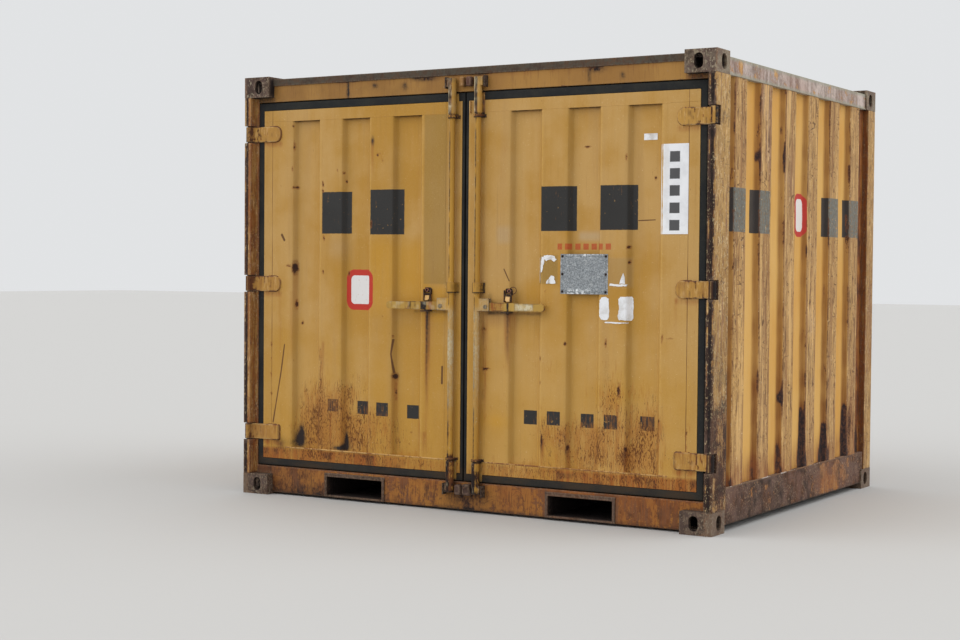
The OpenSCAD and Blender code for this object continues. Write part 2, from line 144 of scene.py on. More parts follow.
class Mat:
    def __init__(self, name, metallic=0.0, specular=0.35):
        self.mat = bpy.data.materials.new(name)
        self.mat.use_nodes = True
        self.nt = self.mat.node_tree
        self.nt.nodes.clear()
        self.output = self.nt.nodes.new("ShaderNodeOutputMaterial")
        self.bsdf = self.nt.nodes.new("ShaderNodeBsdfPrincipled")
        self.bsdf.inputs["Metallic"].default_value = metallic
        self.bsdf.inputs["Specular IOR Level"].default_value = specular
        self.nt.links.new(self.bsdf.outputs[0], self.output.inputs[0])
        self.cache = {}

    def put(self, socket, value):
        if isinstance(value, S):
            self.nt.links.new(value.out, socket)
        else:
            socket.default_value = value

    def m(self, op, a, b=0.0, c=None):
        n = self.nt.nodes.new("ShaderNodeMath")
        n.operation = op
        self.put(n.inputs[0], a)
        self.put(n.inputs[1], b)
        if c is not None:
            self.put(n.inputs[2], c)
        return S(self, n.outputs[0])

    def mx(self, a, b):
        return self.m("MAXIMUM", a, b)

    def mn(self, a, b):
        return self.m("MINIMUM", a, b)

    def clamp(self, a):
        return self.mn(self.mx(a, 0.0), 1.0)

    def attr(self, name):
        if name not in self.cache:
            n = self.nt.nodes.new("ShaderNodeAttribute")
            n.attribute_name = name
            self.cache[name] = S(self, n.outputs["Fac"])
        return self.cache[name]

    def pos(self):
        if "pos" not in self.cache:
            n = self.nt.nodes.new("ShaderNodeTexCoord")
            self.cache["pos"] = S(self, n.outputs["Object"])
        return self.cache["pos"]

    def xyz(self):
        if "xyz" not in self.cache:
            n = self.nt.nodes.new("ShaderNodeSeparateXYZ")
            self.put(n.inputs[0], self.pos())
            self.cache["xyz"] = [S(self, n.outputs[i]) for i in range(3)]
        return self.cache["xyz"]

    def vec(self, x, y, z):
        n = self.nt.nodes.new("ShaderNodeCombineXYZ")
        for i, v in enumerate((x, y, z)):
            self.put(n.inputs[i], v)
        return S(self, n.outputs[0])

    def shaped(self, stretch, shift=(0, 0, 0)):
        key = ("map", stretch, shift)
        if key not in self.cache:
            n = self.nt.nodes.new("ShaderNodeMapping")
            self.put(n.inputs["Vector"], self.pos())
            n.inputs["Scale"].default_value = stretch
            n.inputs["Location"].default_value = shift
            self.cache[key] = S(self, n.outputs[0])
        return self.cache[key]

    def noise(self, scale, detail=3.0, rough=0.55, stretch=None, shift=(0, 0, 0), warp=0.0):
        n = self.nt.nodes.new("ShaderNodeTexNoise")
        self.put(n.inputs["Vector"], self.shaped(tuple(stretch or (1, 1, 1)), tuple(shift)))
        n.inputs["Scale"].default_value = scale
        n.inputs["Detail"].default_value = detail
        n.inputs["Roughness"].default_value = rough
        n.inputs["Distortion"].default_value = warp
        return S(self, n.outputs["Fac"])

    def cells(self, scale, stretch=None, shift=(0, 0, 0), feature="F1"):
        n = self.nt.nodes.new("ShaderNodeTexVoronoi")
        n.feature = feature
        self.put(n.inputs["Vector"], self.shaped(tuple(stretch or (1, 1, 1)), tuple(shift)))
        n.inputs["Scale"].default_value = scale
        return S(self, n.outputs["Distance"])

    def step(self, v, lo, hi, a=0.0, b=1.0):
        n = self.nt.nodes.new("ShaderNodeMapRange")
        n.interpolation_type = "SMOOTHSTEP"
        self.put(n.inputs["Value"], v)
        for name, x in (("From Min", lo), ("From Max", hi), ("To Min", a), ("To Max", b)):
            self.put(n.inputs[name], x)
        return S(self, n.outputs["Result"])

    def mix(self, fac, a, b, mode="MIX"):
        n = self.nt.nodes.new("ShaderNodeMix")
        n.data_type = "RGBA"
        n.blend_type = mode
        n.clamp_factor = True
        self.put(n.inputs[0], fac)
        self.put(n.inputs[6], a)
        self.put(n.inputs[7], b)
        return S(self, n.outputs[2])

    def box2(self, a, b, a0, a1, b0, b1, soft=0.0015, wob=None):
        """1 inside a rectangle given in metres, with a slightly ragged edge."""
        ca, cb = (a0 + a1) / 2, (b0 + b1) / 2
        da = self.m("ABSOLUTE", a - ca) - (a1 - a0) / 2
        db = self.m("ABSOLUTE", b - cb) - (b1 - b0) / 2
        d = self.mx(da, db)
        if wob is not None:
            d = d + wob
        return self.step(d, -soft, soft, 1.0, 0.0)

    def round2(self, a, b, a0, a1, b0, b1, r, soft=0.0015, wob=None):
        """The same with round corners."""
        ca, cb = (a0 + a1) / 2, (b0 + b1) / 2
        da = self.mx(self.m("ABSOLUTE", a - ca) - ((a1 - a0) / 2 - r), 0.0)
        db = self.mx(self.m("ABSOLUTE", b - cb) - ((b1 - b0) / 2 - r), 0.0)
        d = self.m("SQRT", da * da + db * db) - r
        if wob is not None:
            d = d + wob
        return self.step(d, -soft, soft, 1.0, 0.0)

    def line2(self, a, b, p, q, w, wob=None):
        """1 along a thin line from p to q."""
        dx, dz = q[0] - p[0], q[1] - p[1]
        L2 = dx * dx + dz * dz
        pa, pb = a - p[0], b - p[1]
        t = self.clamp((pa * (dx / L2)) + (pb * (dz / L2)))
        ex, ez = pa - t * dx, pb - t * dz
        d = self.m("SQRT", ex * ex + ez * ez)
        if wob is not None:
            d = d + wob
        return self.step(d, w * 0.5, w, 1.0, 0.0)

    def bump(self, height, distance, strength=1.0):
        n = self.nt.nodes.new("ShaderNodeBump")
        n.inputs["Strength"].default_value = strength
        n.inputs["Distance"].default_value = distance
        self.put(n.inputs["Height"], height)
        if "bump" in self.cache:
            self.put(n.inputs["Normal"], self.cache["bump"])
        self.cache["bump"] = S(self, n.outputs[0])

    def finish(self, colour, rough):
        self.put(self.bsdf.inputs["Base Color"], colour)
        self.put(self.bsdf.inputs["Roughness"], rough)
        if "bump" in self.cache:
            self.put(self.bsdf.inputs["Normal"], self.cache["bump"])
        return self.mat


RUST_DARK = lin(52, 33, 26)
RUST_MID = lin(98, 58, 38)
RUST_ORANGE = lin(150, 84, 40)


def rust_colour(g, n):
    c = g.mix(g.step(n, 0.35, 0.55), RUST_DARK, RUST_MID)
    return g.mix(g.step(n, 0.55, 0.72), c, RUST_ORANGE)


def scratches(g, shift=0.0, flow=1.0):
    """Short curved dashes, upright cracks and small dots, as on steel that other boxes have rubbed."""
    where = g.noise(8.5, 2, 0.5, shift=(4 + shift, 9, 2))
    a = g.m("ABSOLUTE", g.noise(4.6, 1, 0.5, stretch=(1, 1, 0.7), shift=(11, 4 + shift, 8), warp=0.6) - 0.5)
    out = g.step(a, 0.003, 0.009, 1.0, 0.0) * g.step(where, 0.53, 0.58)
    b = g.m("ABSOLUTE", g.noise(8.0, 1, 0.5, stretch=(1, 1, 1.1), shift=(1, 14, 3 + shift), warp=0.4) - 0.5)
    out = g.mx(out, g.step(b, 0.004, 0.011, 1.0, 0.0) * g.step(where, 0.43, 0.38))
    where2 = g.noise(15.0, 2, 0.5, shift=(2, 2 + shift, 7))
    h = g.m("ABSOLUTE", g.noise(9.0, 2, 0.5, stretch=(0.4, 0.4, 1.8), shift=(5 + shift, 1, 1)) - 0.5)
    out = g.mx(out, g.step(h, 0.006, 0.016, 1.0, 0.0) * g.step(where2, 0.57, 0.62))
    v = g.m("ABSOLUTE", g.noise(13.0, 4, 0.6, stretch=(1, 1, 0.07 * flow), shift=(3, 3 + shift, 9)) - 0.5)
    out = g.mx(out, g.step(v, 0.007, 0.018, 1.0, 0.0) * g.step(where2, 0.54, 0.48))
    d = g.noise(85.0, 2, 0.5, stretch=(1, 1, 0.55), shift=(9, 9 + shift, 9)) + where * 0.25
    out = g.mx(out, g.step(d, 0.785, 0.81))
    return out


# ---------------------------------------------------------------- marks on the doors: plain blocks, in millimetres
DOOR_BLOCKS = [(-966, -774, 1526, 1764), (-628, -414, 1520, 1772), (472, 676, 1534, 1770), (826, 1032, 1538, 1770)]
DOOR_SMALL = [(-918, -844, 508, 578), (-728, -650, 499, 574), (-580, -500, 497, 573), (-388, -308, 491, 567),
              (366, 446, 501, 576), (521, 600, 506, 579), (711, 787, 501, 574), (860, 938, 504, 578),
              (1056, 1138, 504, 578)]
DOOR_BADGE = (-806, -608, 1092, 1322)
WALL_BLOCKS = [(-1004, -806, 1532, 1758), (-692, -468, 1530, 1758), (384, 598, 1532, 1758), (742, 954, 1536, 1758)]
WALL_BADGE = (-42, 98, 1524, 1766)


def door_material():
    g = Mat("door_paint", specular=0.26)
    x, y, z = g.xyz()
    big = g.noise(1.3, 3, 0.5)
    mid = g.noise(5.0, 4, 0.55, shift=(3, 1, 2))
    fine = g.noise(60.0, 5, 0.62)
    grain = g.noise(240.0, 3, 0.6, shift=(1, 5, 2))
    wash = g.noise(9.0, 4, 0.6, stretch=(1, 1, 0.07), shift=(7, 0, 0))
    hair = g.noise(70.0, 4, 0.65, stretch=(1, 1, 0.05), shift=(0, 3, 1))

    # mustard paint, chalked to a dusty tan in soft fields
    chalk = g.step(big * 0.55 + mid * 0.30 + wash * 0.25 + g.step(z, 0.9, 1.7, 0.0, 0.05)
                   + g.step(x, -0.25, 0.15, -0.055, 0.0), 0.46, 0.66)
    c = g.mix(chalk, lin(174, 127, 42), lin(188, 148, 86))
    low = g.step(z + (mid - 0.5) * 0.5, 0.55, 1.25, 1.0, 0.0)
    c = g.mix(low * 0.45, c, lin(190, 144, 60))
    c = g.mix(g.attr("fresh"), c, lin(196, 142, 26))
    c = g.mix(g.attr("dull"), c, lin(146, 114, 52))
    c = g.mix(g.attr("tan"), c, lin(182, 156, 120))
    # rain wash and scuffs
    c = g.mix(g.step(wash, 0.50, 0.72, 0.0, 0.22), c, lin(140, 98, 44))
    c = g.mix(g.step(hair, 0.56, 0.74, 0.0, 0.16), c, lin(120, 82, 38))
    c = g.mix(g.step(grain, 0.3, 0.75, 0.0, 0.12), c, lin(214, 180, 120))
    nick = g.noise(150.0, 2, 0.5, shift=(8, 8, 3)) + mid * 0.12
    c = g.mix(g.step(nick, 0.775, 0.80, 0.0, 0.55), c, lin(220, 196, 150))
    # painted shade on the pressed folds, then pale wear on the leaf edges and a painted highlight along each recess's
    # right edge
    c = g.mix(g.attr("shade") * 0.55, c, lin(128, 100, 40))
    c = g.mix(g.attr("worn") * g.step(fine, 0.35, 0.6, 0.2, 0.7), c, lin(208, 168, 98))
    # orange wash of old rust
    c = g.mix(g.clamp(g.attr("stain") * g.step(hair + wash * 0.5, 0.55, 0.92, 0.40, 1.2)), c, lin(146, 82, 30))
    # plain blocks where markings were
    wob = (fine - 0.5) * 0.004
    ink = None
    for a0, a1, b0, b1 in DOOR_BLOCKS:
        k = g.box2(x, z, a0 / 1000, a1 / 1000, b0 / 1000, b1 / 1000, wob=wob)
        ink = k if ink is None else g.mx(ink, k)
    for a0, a1, b0, b1 in DOOR_SMALL:
        ink = g.mx(ink, g.box2(x, z, a0 / 1000, a1 / 1000, b0 / 1000, b1 / 1000, wob=wob))
    outside = g.step(g.attr("skin"), 0.5, 0.6)
    ink = ink * outside * g.step(fine + g.attr("rust") * 0.1, 0.66, 0.71, 1.0, 0.3)
    c = g.mix(ink, c, g.mix(grain, lin(34, 34, 34), lin(52, 50, 48)))
    a0, a1, b0, b1 = (v / 1000 for v in DOOR_BADGE)
    red = g.round2(x, z, a0, a1, b0, b1, 0.05, wob=wob) * outside
    white = g.round2(x, z, a0 + 0.030, a1 - 0.030, b0 + 0.034, b1 - 0.034, 0.024, wob=wob) * outside
    chip = g.step(fine, 0.66, 0.70, 1.0, 0.3)
    c = g.mix(red * chip, c, lin(186, 52, 38))
    c = g.mix(white * chip, c, lin(222, 220, 218))
    # faint dashes above the plate
    dash = g.m("PINGPONG", x + 0.012, 0.024)
    row = g.box2(x, z, 0.576, 0.904, 1.436, 1.468, wob=wob) * g.step(dash, 0.0075, 0.0095)
    c = g.mix(row * outside * g.step(fine, 0.30, 0.70, 0.66, 0.82), c, lin(176, 62, 30))
    # thin seams in the skin
    seam = g.step(g.m("ABSOLUTE", g.m("ABSOLUTE", x) - SEAM_X / 1000), 0.0011, 0.0022, 1.0, 0.0)
    seam = seam * g.step(hair, 0.42, 0.56, 0.45, 1.0) * outside
    c = g.mix(seam, c, lin(104, 66, 32))
    # long scratches
    wob2 = (g.noise(14.0, 3, 0.6, shift=(9, 2, 4)) - 0.5) * 0.0035
    s = g.line2(x, z, (-1.233, 0.880), (-1.262, 0.700), 0.0056, wob2)
    s = g.mx(s, g.line2(x, z, (-1.262, 0.700), (-1.315, 0.423), 0.0056, wob2))
    s = g.mx(s, g.line2(x, z, (-0.471, 0.930), (-0.483, 0.850), 0.0064, wob2))
    s = g.mx(s, g.line2(x, z, (-0.483, 0.850), (-0.467, 0.745), 0.0064, wob2))
    s = g.mx(s, g.line2(x, z, (-1.256, 1.520), (-1.238, 1.490), 0.0100, wob2))
    s = g.mx(s, g.line2(x, z, (1.036, 1.586), (1.130, 1.589), 0.0036, wob2))
    s = g.mx(s, g.line2(x, z, (0.250, 1.330), (0.282, 1.268), 0.0042, wob2))
    s = g.mx(s, g.line2(x, z, (-0.140, 0.790), (-0.141, 0.700), 0.0080, wob2))
    s = s * outside
    c = g.mix(s * 0.9, c, lin(84, 50, 28))
    # rust: fine upright flecks over whole fields
    run = g.noise(150.0, 3, 0.6, stretch=(1, 1, 0.13), shift=(2, 2, 2)) * 0.60 + g.noise(30.0, 3, 0.6, stretch=(1, 1, 0.3), shift=(4, 1, 7)) * 0.40
    halo = g.step(run + g.attr("rust") * 0.22, 0.60, 0.72)
    c = g.mix(halo * 0.46, c, lin(164, 104, 36))
    speck = g.noise(250.0, 2, 0.6, stretch=(1, 1, 0.24), shift=(1, 6, 2)) * 0.66 + g.noise(24.0, 3, 0.6, stretch=(1, 1, 0.4), shift=(7, 1, 5)) * 0.34
    core = g.step(speck + g.attr("rust") * 0.150, 0.695, 0.722)
    c = g.mix(core * 0.90, c, lin(98, 56, 28))
    split = g.m("ABSOLUTE", g.noise(60.0, 3, 0.55, stretch=(1, 1, 0.10), shift=(3, 9, 1)) - 0.5)
    split = g.step(split, 0.007, 0.013, 1.0, 0.0) * g.step(g.attr("rust"), 0.20, 0.60) * g.step(mid + fine * 0.4, 0.60, 0.68)
    c = g.mix(split * 0.85, c, lin(84, 44, 26))
    # single spots, ragged
    sp = g.attr("spot") + (fine - 0.5) * 1.3 + (grain - 0.5) * 0.6
    c = g.mix(g.step(sp, 0.10, 0.40, 0.0, 0.60) * g.step(g.attr("spot"), 0.04, 0.22), c, lin(142, 88, 38))
    hole = g.step(sp, 0.46, 0.60) * g.step(g.attr("spot"), 0.12, 0.30)
    c = g.mix(hole * 0.95, c, g.mix(g.step(grain, 0.4, 0.65), lin(50, 30, 22), lin(96, 54, 30)))
    # black grime, with painted shadow under the handles and under the top rail at the recess tops
    grime = g.clamp(g.attr("dark") * g.step(fine + mid * 0.5, 0.50, 0.90, 0.70, 1.45))
    c = g.mix(grime, c, lin(38, 28, 26))
    g.bump(fine * 0.35 + grain * 0.15, 0.0006, 0.5)
    g.bump((core + hole) * -1.0 + halo * -0.3, 0.0007, 0.7)
    rough = g.mx(g.step(mid, 0.3, 0.7, 0.48, 0.64), g.mx(core, hole) * 0.9)
    return g.finish(c, rough)


def wall_material():
    g = Mat("wall_paint", specular=0.26)
    x, y, z = g.xyz()
    big = g.noise(1.3, 3, 0.5)
    mid = g.noise(7.0, 4, 0.55, shift=(3, 1, 2))
    fine = g.noise(62.0, 5, 0.65)
    grain = g.noise(240.0, 2, 0.6, shift=(1, 5, 2))
    tall = g.noise(6.0, 5, 0.6, stretch=(1, 1, 0.14), shift=(5, 2, 3))
    hair = g.noise(80.0, 5, 0.7, stretch=(1, 1, 0.06), shift=(0, 3, 1))
    # recesses: paint still whole
    c = g.mix(g.step(big * 0.6 + tall * 0.4, 0.40, 0.60), lin(206, 152, 70), lin(214, 168, 92))
    c = g.mix(g.step(hair, 0.5, 0.75, 0.0, 0.20), c, lin(166, 110, 46))
    # painted shade on the slope on one side of each ridge (left as seen on the right wall) and on the recess floor next
    # to it
    c = g.mix(g.clamp(g.attr("shade") * g.step(hair + mid * 0.4, 0.5, 0.9, 0.80, 1.05)), c, lin(124, 74, 26))
    # ridges: scraped by other boxes
    tan = g.mix(g.step(tall, 0.36, 0.62), lin(186, 146, 88), lin(166, 128, 84))
    tan = g.mix(g.step(g.attr("pink") + (mid - 0.5) * 1.1 + (tall - 0.5) * 1.6, 0.45, 1.05, 0.0, 0.8), tan, lin(158, 128, 108))
    tan = g.mix(g.step(hair, 0.45, 0.34, 0.0, 0.75), tan, lin(222, 180, 116))
    fleckle = g.noise(46.0, 4, 0.7, stretch=(1, 1, 0.22), shift=(14, 3, 9))
    tan = g.mix(g.step(fleckle, 0.57, 0.65, 0.0, 0.65), tan, lin(228, 188, 126))
    tan = g.mix(g.step(fleckle, 0.42, 0.35, 0.0, 0.60), tan, lin(126, 86, 52))
    tan = g.mix(g.step(fine, 0.54, 0.66, 0.0, 0.55), tan, lin(122, 88, 60))
    tan = g.mix(g.step(hair, 0.56, 0.66, 0.0, 0.80), tan, lin(98, 64, 42))
    marks = scratches(g)
    tan = g.mix(marks * 0.80, tan, lin(74, 46, 32))
    # dark fold lines on the ridges: rust at the near fold, painted shade at the far fold
    tan = g.mix(g.attr("fold") * g.step(hair + fine * 0.4, 0.55, 0.85, 0.35, 0.95), tan, lin(112, 70, 36))
    band = g.noise(22.0, 4, 0.66, stretch=(1, 1, 0.045), shift=(8, 2, 5))
    tan = g.mix(g.step(band, 0.54, 0.62, 0.0, 0.70), tan, lin(220, 178, 116))
    tan = g.mix(g.step(band + (fine - 0.5) * 0.2, 0.46, 0.39, 0.0, 0.60), tan, lin(134, 92, 58))
    chips = g.step(g.noise(80.0, 2, 0.5, stretch=(1, 1, 0.5), shift=(19, 9, 4)) + mid * 0.2, 0.78, 0.82)
    tan = g.mix(chips * 0.7, tan, lin(220, 194, 150))
    ragged = (fine - 0.5) * 0.9 + (hair - 0.5) * 0.8
    scraped = g.step(g.attr("scrape") + ragged * 0.55, 0.42, 0.56)
    c = g.mix(scraped * 0.93, c, tan)
    # orange wash
    c = g.mix(g.clamp(g.attr("stain") * g.step(hair + mid * 0.4, 0.5, 0.85, 0.55, 1.2)), c, lin(128, 68, 28))
    # plain blocks: whole in the recesses, worn to grey on the ridges
    wob = (fine - 0.5) * 0.004
    ink = None
    for a0, a1, b0, b1 in WALL_BLOCKS:
        k = g.box2(y, z, a0 / 1000, a1 / 1000, b0 / 1000, b1 / 1000, wob=wob)
        ink = k if ink is None else g.mx(ink, k)
    right = g.step(x, 1.40, 1.41) * g.step(g.attr("skin"), 0.5, 0.6)
    ink = ink * right
    black = lin(40, 40, 42)
    grey = g.mix(g.step(fine, 0.4, 0.6), lin(112, 116, 112), lin(88, 90, 84))
    worn = g.step(g.attr("scrape") + ragged * 0.2, 0.25, 0.40)
    c = g.mix(ink * (1.0 - worn) * 0.96, c, black)
    c = g.mix(ink * worn * (1.0 - chips) * g.step(fine * 0.6 + hair * 0.5 + tall * 0.3, 0.70, 0.86, 0.92, 0.15), c, grey)
    a0, a1, b0, b1 = (v / 1000 for v in WALL_BADGE)
    red = g.round2(y, z, a0, a1, b0, b1, 0.05, wob=wob) * right * (1.0 - scraped)
    white = g.round2(y, z, a0 + 0.022, a1 - 0.022, b0 + 0.030, b1 - 0.030, 0.03, wob=wob) * right * (1.0 - scraped)
    c = g.mix(red, c, lin(186, 56, 46))
    c = g.mix(white, c, lin(224, 218, 212))
    # grime and rust
    torn = g.attr("dark") + (hair - 0.5) * 1.3 + (fine - 0.5) * 0.8 + (mid - 0.5) * 0.7
    grime = g.clamp(g.step(torn, 0.40, 0.62) * g.step(g.attr("dark"), 0.06, 0.30, 0.0, 0.92) + g.attr("dark") * 0.10)
    rim = g.step(torn, 0.24, 0.42) * g.step(g.attr("dark"), 0.06, 0.30, 0.0, 0.55)
    c = g.mix(rim, c, lin(116, 66, 32))
    c = g.mix(grime, c, g.mix(g.step(fine + hair * 0.3, 0.55, 0.85), lin(36, 25, 26), lin(86, 52, 36)))
    fl = g.noise(210.0, 4, 0.65, stretch=(1, 1, 0.30), shift=(2, 2, 2)) * 0.55 + g.noise(30.0, 3, 0.6, stretch=(1, 1, 0.2), shift=(4, 1, 7)) * 0.45
    level = 0.715 - g.attr("rust") * 0.27
    halo = g.step(fl - level, -0.055, 0.010)
    core = g.step(fl - level, 0.0, 0.035)
    c = g.mix(halo * 0.55, c, lin(140, 84, 42))
    c = g.mix(core * 0.9, c, lin(66, 40, 30))
    g.bump(fine * 0.4 + grain * 0.1, 0.0008, 0.6)
    g.bump(core * -1.0 + scraped * -0.25 + marks * scraped * -0.5, 0.0008, 0.8)
    rough = g.mx(g.step(mid, 0.3, 0.7, 0.50, 0.66), g.mx(core * 0.9, scraped * 0.70))
    return g.finish(c, rough)


def rusted_material(name, paint, paint2, rust_lo, rust_hi, cover, specular=0.22, fleck=None, fleck_amount=0.0,
                    stretch=(1, 1, 0.35), orange=0.45, purple=0.0, fine_amp=0.24, hue=(128, 76, 38), rubbed=0.0, tint=None, scuffed=0.0):
    """Old steel: cover is the share that still carries paint, the rest is rust in two tones."""
    g = Mat(name, specular=specular)
    big = g.noise(2.4, 4, 0.6, stretch=stretch, shift=(1, 2, 3))
    mid = g.noise(12.0, 5, 0.62, stretch=stretch, shift=(3, 1, 2))
    fine = g.noise(85.0, 5, 0.66, stretch=(1, 1, 0.7))
    grain = g.noise(260.0, 2, 0.6, shift=(1, 5, 2))
    hair = g.noise(70.0, 4, 0.65, stretch=tuple(v ** 2.2 for v in stretch), shift=(0, 3, 1))
    rust = g.mix(g.step(mid * 0.55 + fine * 0.25 + hair * 0.2, 0.40, 0.60), rust_lo, rust_hi)
    rust = g.mix(g.step(big * 0.7 + hair * 0.3, 0.48, 0.62, 0.0, orange), rust, lin(*hue))
    if purple:
        rust = g.mix(g.step(mid + big * 0.3, 0.55, 0.75, 0.0, purple), rust, lin(104, 84, 80))
    coat = g.mix(g.step(big, 0.4, 0.6), paint, paint2)
    coat = g.mix(g.step(hair, 0.50, 0.70, 0.0, 0.4), coat, lin(112, 76, 40))
    if scuffed:
        f2 = g.noise(48.0, 4, 0.7, stretch=(1, 1, 0.26), shift=(14, 3, 9))
        f3 = g.noise(20.0, 4, 0.66, stretch=(1, 1, 0.06), shift=(4, 8, 1))
        coat = g.mix(g.step(f2, 0.55, 0.63, 0.0, scuffed), coat, lin(220, 184, 132))
        coat = g.mix(g.step(f2, 0.44, 0.36, 0.0, scuffed), coat, lin(118, 82, 56))
        coat = g.mix(g.step(f3, 0.46, 0.38, 0.0, scuffed * 0.8), coat, lin(132, 94, 70))
    pattern = mid * 0.44 + fine * fine_amp + big * 0.14 + hair * 0.18 + (0.24 - fine_amp) * 0.5
    edge = g.attr("edge")
    level = (0.5 + (cover - 0.5) * 0.36) - edge * 0.07 - g.attr("rust") * 0.20 + g.attr("keep") * 0.20
    bare = g.step(pattern - level, -0.014, 0.026)
    c = g.mix(bare, coat, rust)
    c = g.mix(g.step(pattern - level, -0.05, 0.0, 0.0, 0.45) * (1.0 - bare), c, lin(136, 82, 38))
    if rubbed:
        c = g.mix(scratches(g, 3.0) * rubbed, c, lin(58, 38, 30))
    if fleck is not None:
        f = g.step(g.noise(130.0, 3, 0.6, stretch=(1, 1, 0.6), shift=(6, 6, 1)) + g.noise(9.0, 2, 0.5, shift=(2, 8, 1)) * 0.25, 0.82 - fleck_amount * 0.16, 0.86 - fleck_amount * 0.16)
        c = g.mix(f * 0.7, c, fleck)
    c = g.mix(g.clamp(g.attr("stain") * g.step(hair, 0.4, 0.65, 0.45, 1.2)), c, lin(140, 80, 34))
    c = g.mix(g.clamp(g.attr("dark") * g.step(fine + mid * 0.4, 0.5, 0.85, 0.55, 1.3)), c, lin(36, 28, 26))
    if tint is not None:
        c = g.mix(g.clamp(g.attr("tint") * g.step(fine + grain * 0.35, 0.55, 0.80, 0.45, 1.25)), c, lin(*tint))
    c = g.mix(edge * g.step(fine, 0.44, 0.60, 0.05, 0.35), c, lin(150, 126, 104))
    g.bump(fine * 0.5 + mid * 0.5, 0.0014, 0.5)
    g.bump(bare * -1.0, 0.0007, 0.7)
    g.bump(grain, 0.0004, 0.35)
    rough = g.mx(g.step(mid, 0.3, 0.7, 0.55, 0.68), bare * 0.86)
    return g.finish(c, rough)


def rubber_material():
    g = Mat("seal_rubber", specular=0.12)
    x, y, z = g.xyz()
    mid = g.noise(9.0, 4, 0.6)
    fine = g.noise(90.0, 4, 0.6)
    wash = g.noise(7.0, 4, 0.65, stretch=(0.5, 1, 1.6), shift=(3, 3, 3))
    c = g.mix(g.step(mid, 0.35, 0.7), lin(38, 39, 40), lin(50, 50, 47))
    c = g.mix(g.step(fine, 0.55, 0.75, 0.0, 0.30), c, lin(80, 76, 70))
    low = g.step(z + (mid - 0.5) * 0.12, 0.19, 0.27, 1.0, 0.0)
    c = g.mix(low * g.step(wash, 0.38, 0.66, 0.15, 0.85), c, lin(66, 54, 42))
    # painted shade along the seal's edges and side walls
    c = g.mix(g.attr("dark") * 0.75, c, lin(24, 24, 24))
    g.bump(fine, 0.0006, 0.4)
    return g.finish(c, g.step(mid, 0.3, 0.7, 0.78, 0.92))


def plate_material():
    g = Mat("plate_steel", metallic=0.35, specular=0.4)
    mid = g.noise(16.0, 4, 0.6)
    cell = g.cells(85.0)
    cell2 = g.cells(210.0, shift=(3, 1, 7))
    c = g.mix(g.step(cell + mid * 0.3, 0.25, 0.75), lin(128, 132, 136), lin(156, 160, 163))
    c = g.mix(g.step(cell2, 0.2, 0.6, 0.0, 0.5), c, lin(104, 108, 112))
    c = g.mix(g.step(g.noise(44.0, 5, 0.7, shift=(5, 5, 5)), 0.56, 0.63, 0.0, 0.6), c, lin(190, 192, 192))
    crystal = g.noise(150.0, 4, 0.75, shift=(2, 7, 4))
    c = g.mix(g.step(crystal, 0.53, 0.60, 0.0, 0.60), c, lin(178, 186, 190))
    c = g.mix(g.step(crystal, 0.47, 0.40, 0.0, 0.70), c, lin(92, 102, 108))
    c = g.mix(g.clamp(g.attr("scuff") * g.step(g.noise(60.0, 4, 0.7, shift=(1, 9, 9)), 0.50, 0.56, 0.0, 1.4)), c, lin(228, 232, 234))
    c = g.mix(g.attr("line") * 0.55, c, lin(78, 84, 88))
    c = g.mix(g.attr("edge") * g.step(mid, 0.45, 0.6, 0.1, 0.75), c, lin(104, 84, 66))
    g.bump(mid + cell * 0.3, 0.0012, 0.5)
    return g.finish(c, g.step(cell, 0.1, 0.7, 0.42, 0.62))


def sticker_material():
    g = Mat("old_label", specular=0.4)
    mid = g.noise(22.0, 5, 0.65)
    fine = g.noise(120.0, 4, 0.6)
    x, y, z = g.xyz()
    c = g.mix(g.step(mid, 0.42, 0.70), lin(232, 233, 236), lin(214, 214, 214))
    c = g.mix(g.attr("dark") * g.step(mid, 0.44, 0.62, 0.1, 1.0), c, lin(150, 128, 100))
    g.bump(mid, 0.0006, 0.4)
    return g.finish(c, g.step(fine, 0.3, 0.7, 0.35, 0.5))


def panel_material():
    g = Mat("white_panel", specular=0.4)
    x, y, z = g.xyz()
    mid = g.noise(14.0, 4, 0.6)
    fine = g.noise(110.0, 3, 0.6)
    c = g.mix(g.step(mid, 0.4, 0.7), lin(232, 233, 236), lin(218, 219, 222))
    wob = (fine - 0.5) * 0.002
    ink = None
    for zz in (1.908, 1.822, 1.736, 1.648, 1.560):
        k = g.box2(x, z, 1.222, 1.278, zz - 0.027, zz + 0.027, wob=wob)
        ink = k if ink is None else g.mx(ink, k)
    c = g.mix(ink * 0.93, c, lin(34, 34, 36))
    c = g.mix(g.step(g.noise(9.0, 4, 0.6, stretch=(1, 1, 0.1)), 0.56, 0.75, 0.0, 0.25), c, lin(170, 150, 120))
    g.bump(mid, 0.0008, 0.3)
    return g.finish(c, 0.36)


def wood_material():
    g = Mat("floor_wood", specular=0.25)
    ring = g.noise(6.0, 4, 0.6, stretch=(0.12, 1, 1), warp=0.8)
    fibre = g.noise(80.0, 5, 0.7, stretch=(0.04, 1, 1), shift=(2, 4, 1))
    dirt = g.noise(3.0, 5, 0.6, shift=(8, 3, 5))
    c = g.mix(g.step(ring, 0.35, 0.65), lin(142, 108, 74), lin(112, 80, 52))
    c = g.mix(g.step(fibre, 0.45, 0.68, 0.0, 0.6), c, lin(78, 54, 36))
    c = g.mix(g.attr("plank") * 0.45, c, lin(160, 128, 92))
    c = g.mix(g.step(dirt, 0.50, 0.68, 0.0, 0.65), c, lin(70, 60, 52))
    g.bump(fibre, 0.0015, 0.5)
    return g.finish(c, g.step(dirt, 0.3, 0.7, 0.62, 0.85))


def under_material():
    return rusted_material("under_steel", lin(96, 62, 40), lin(84, 54, 38), lin(60, 42, 34), lin(98, 66, 46), 0.35)


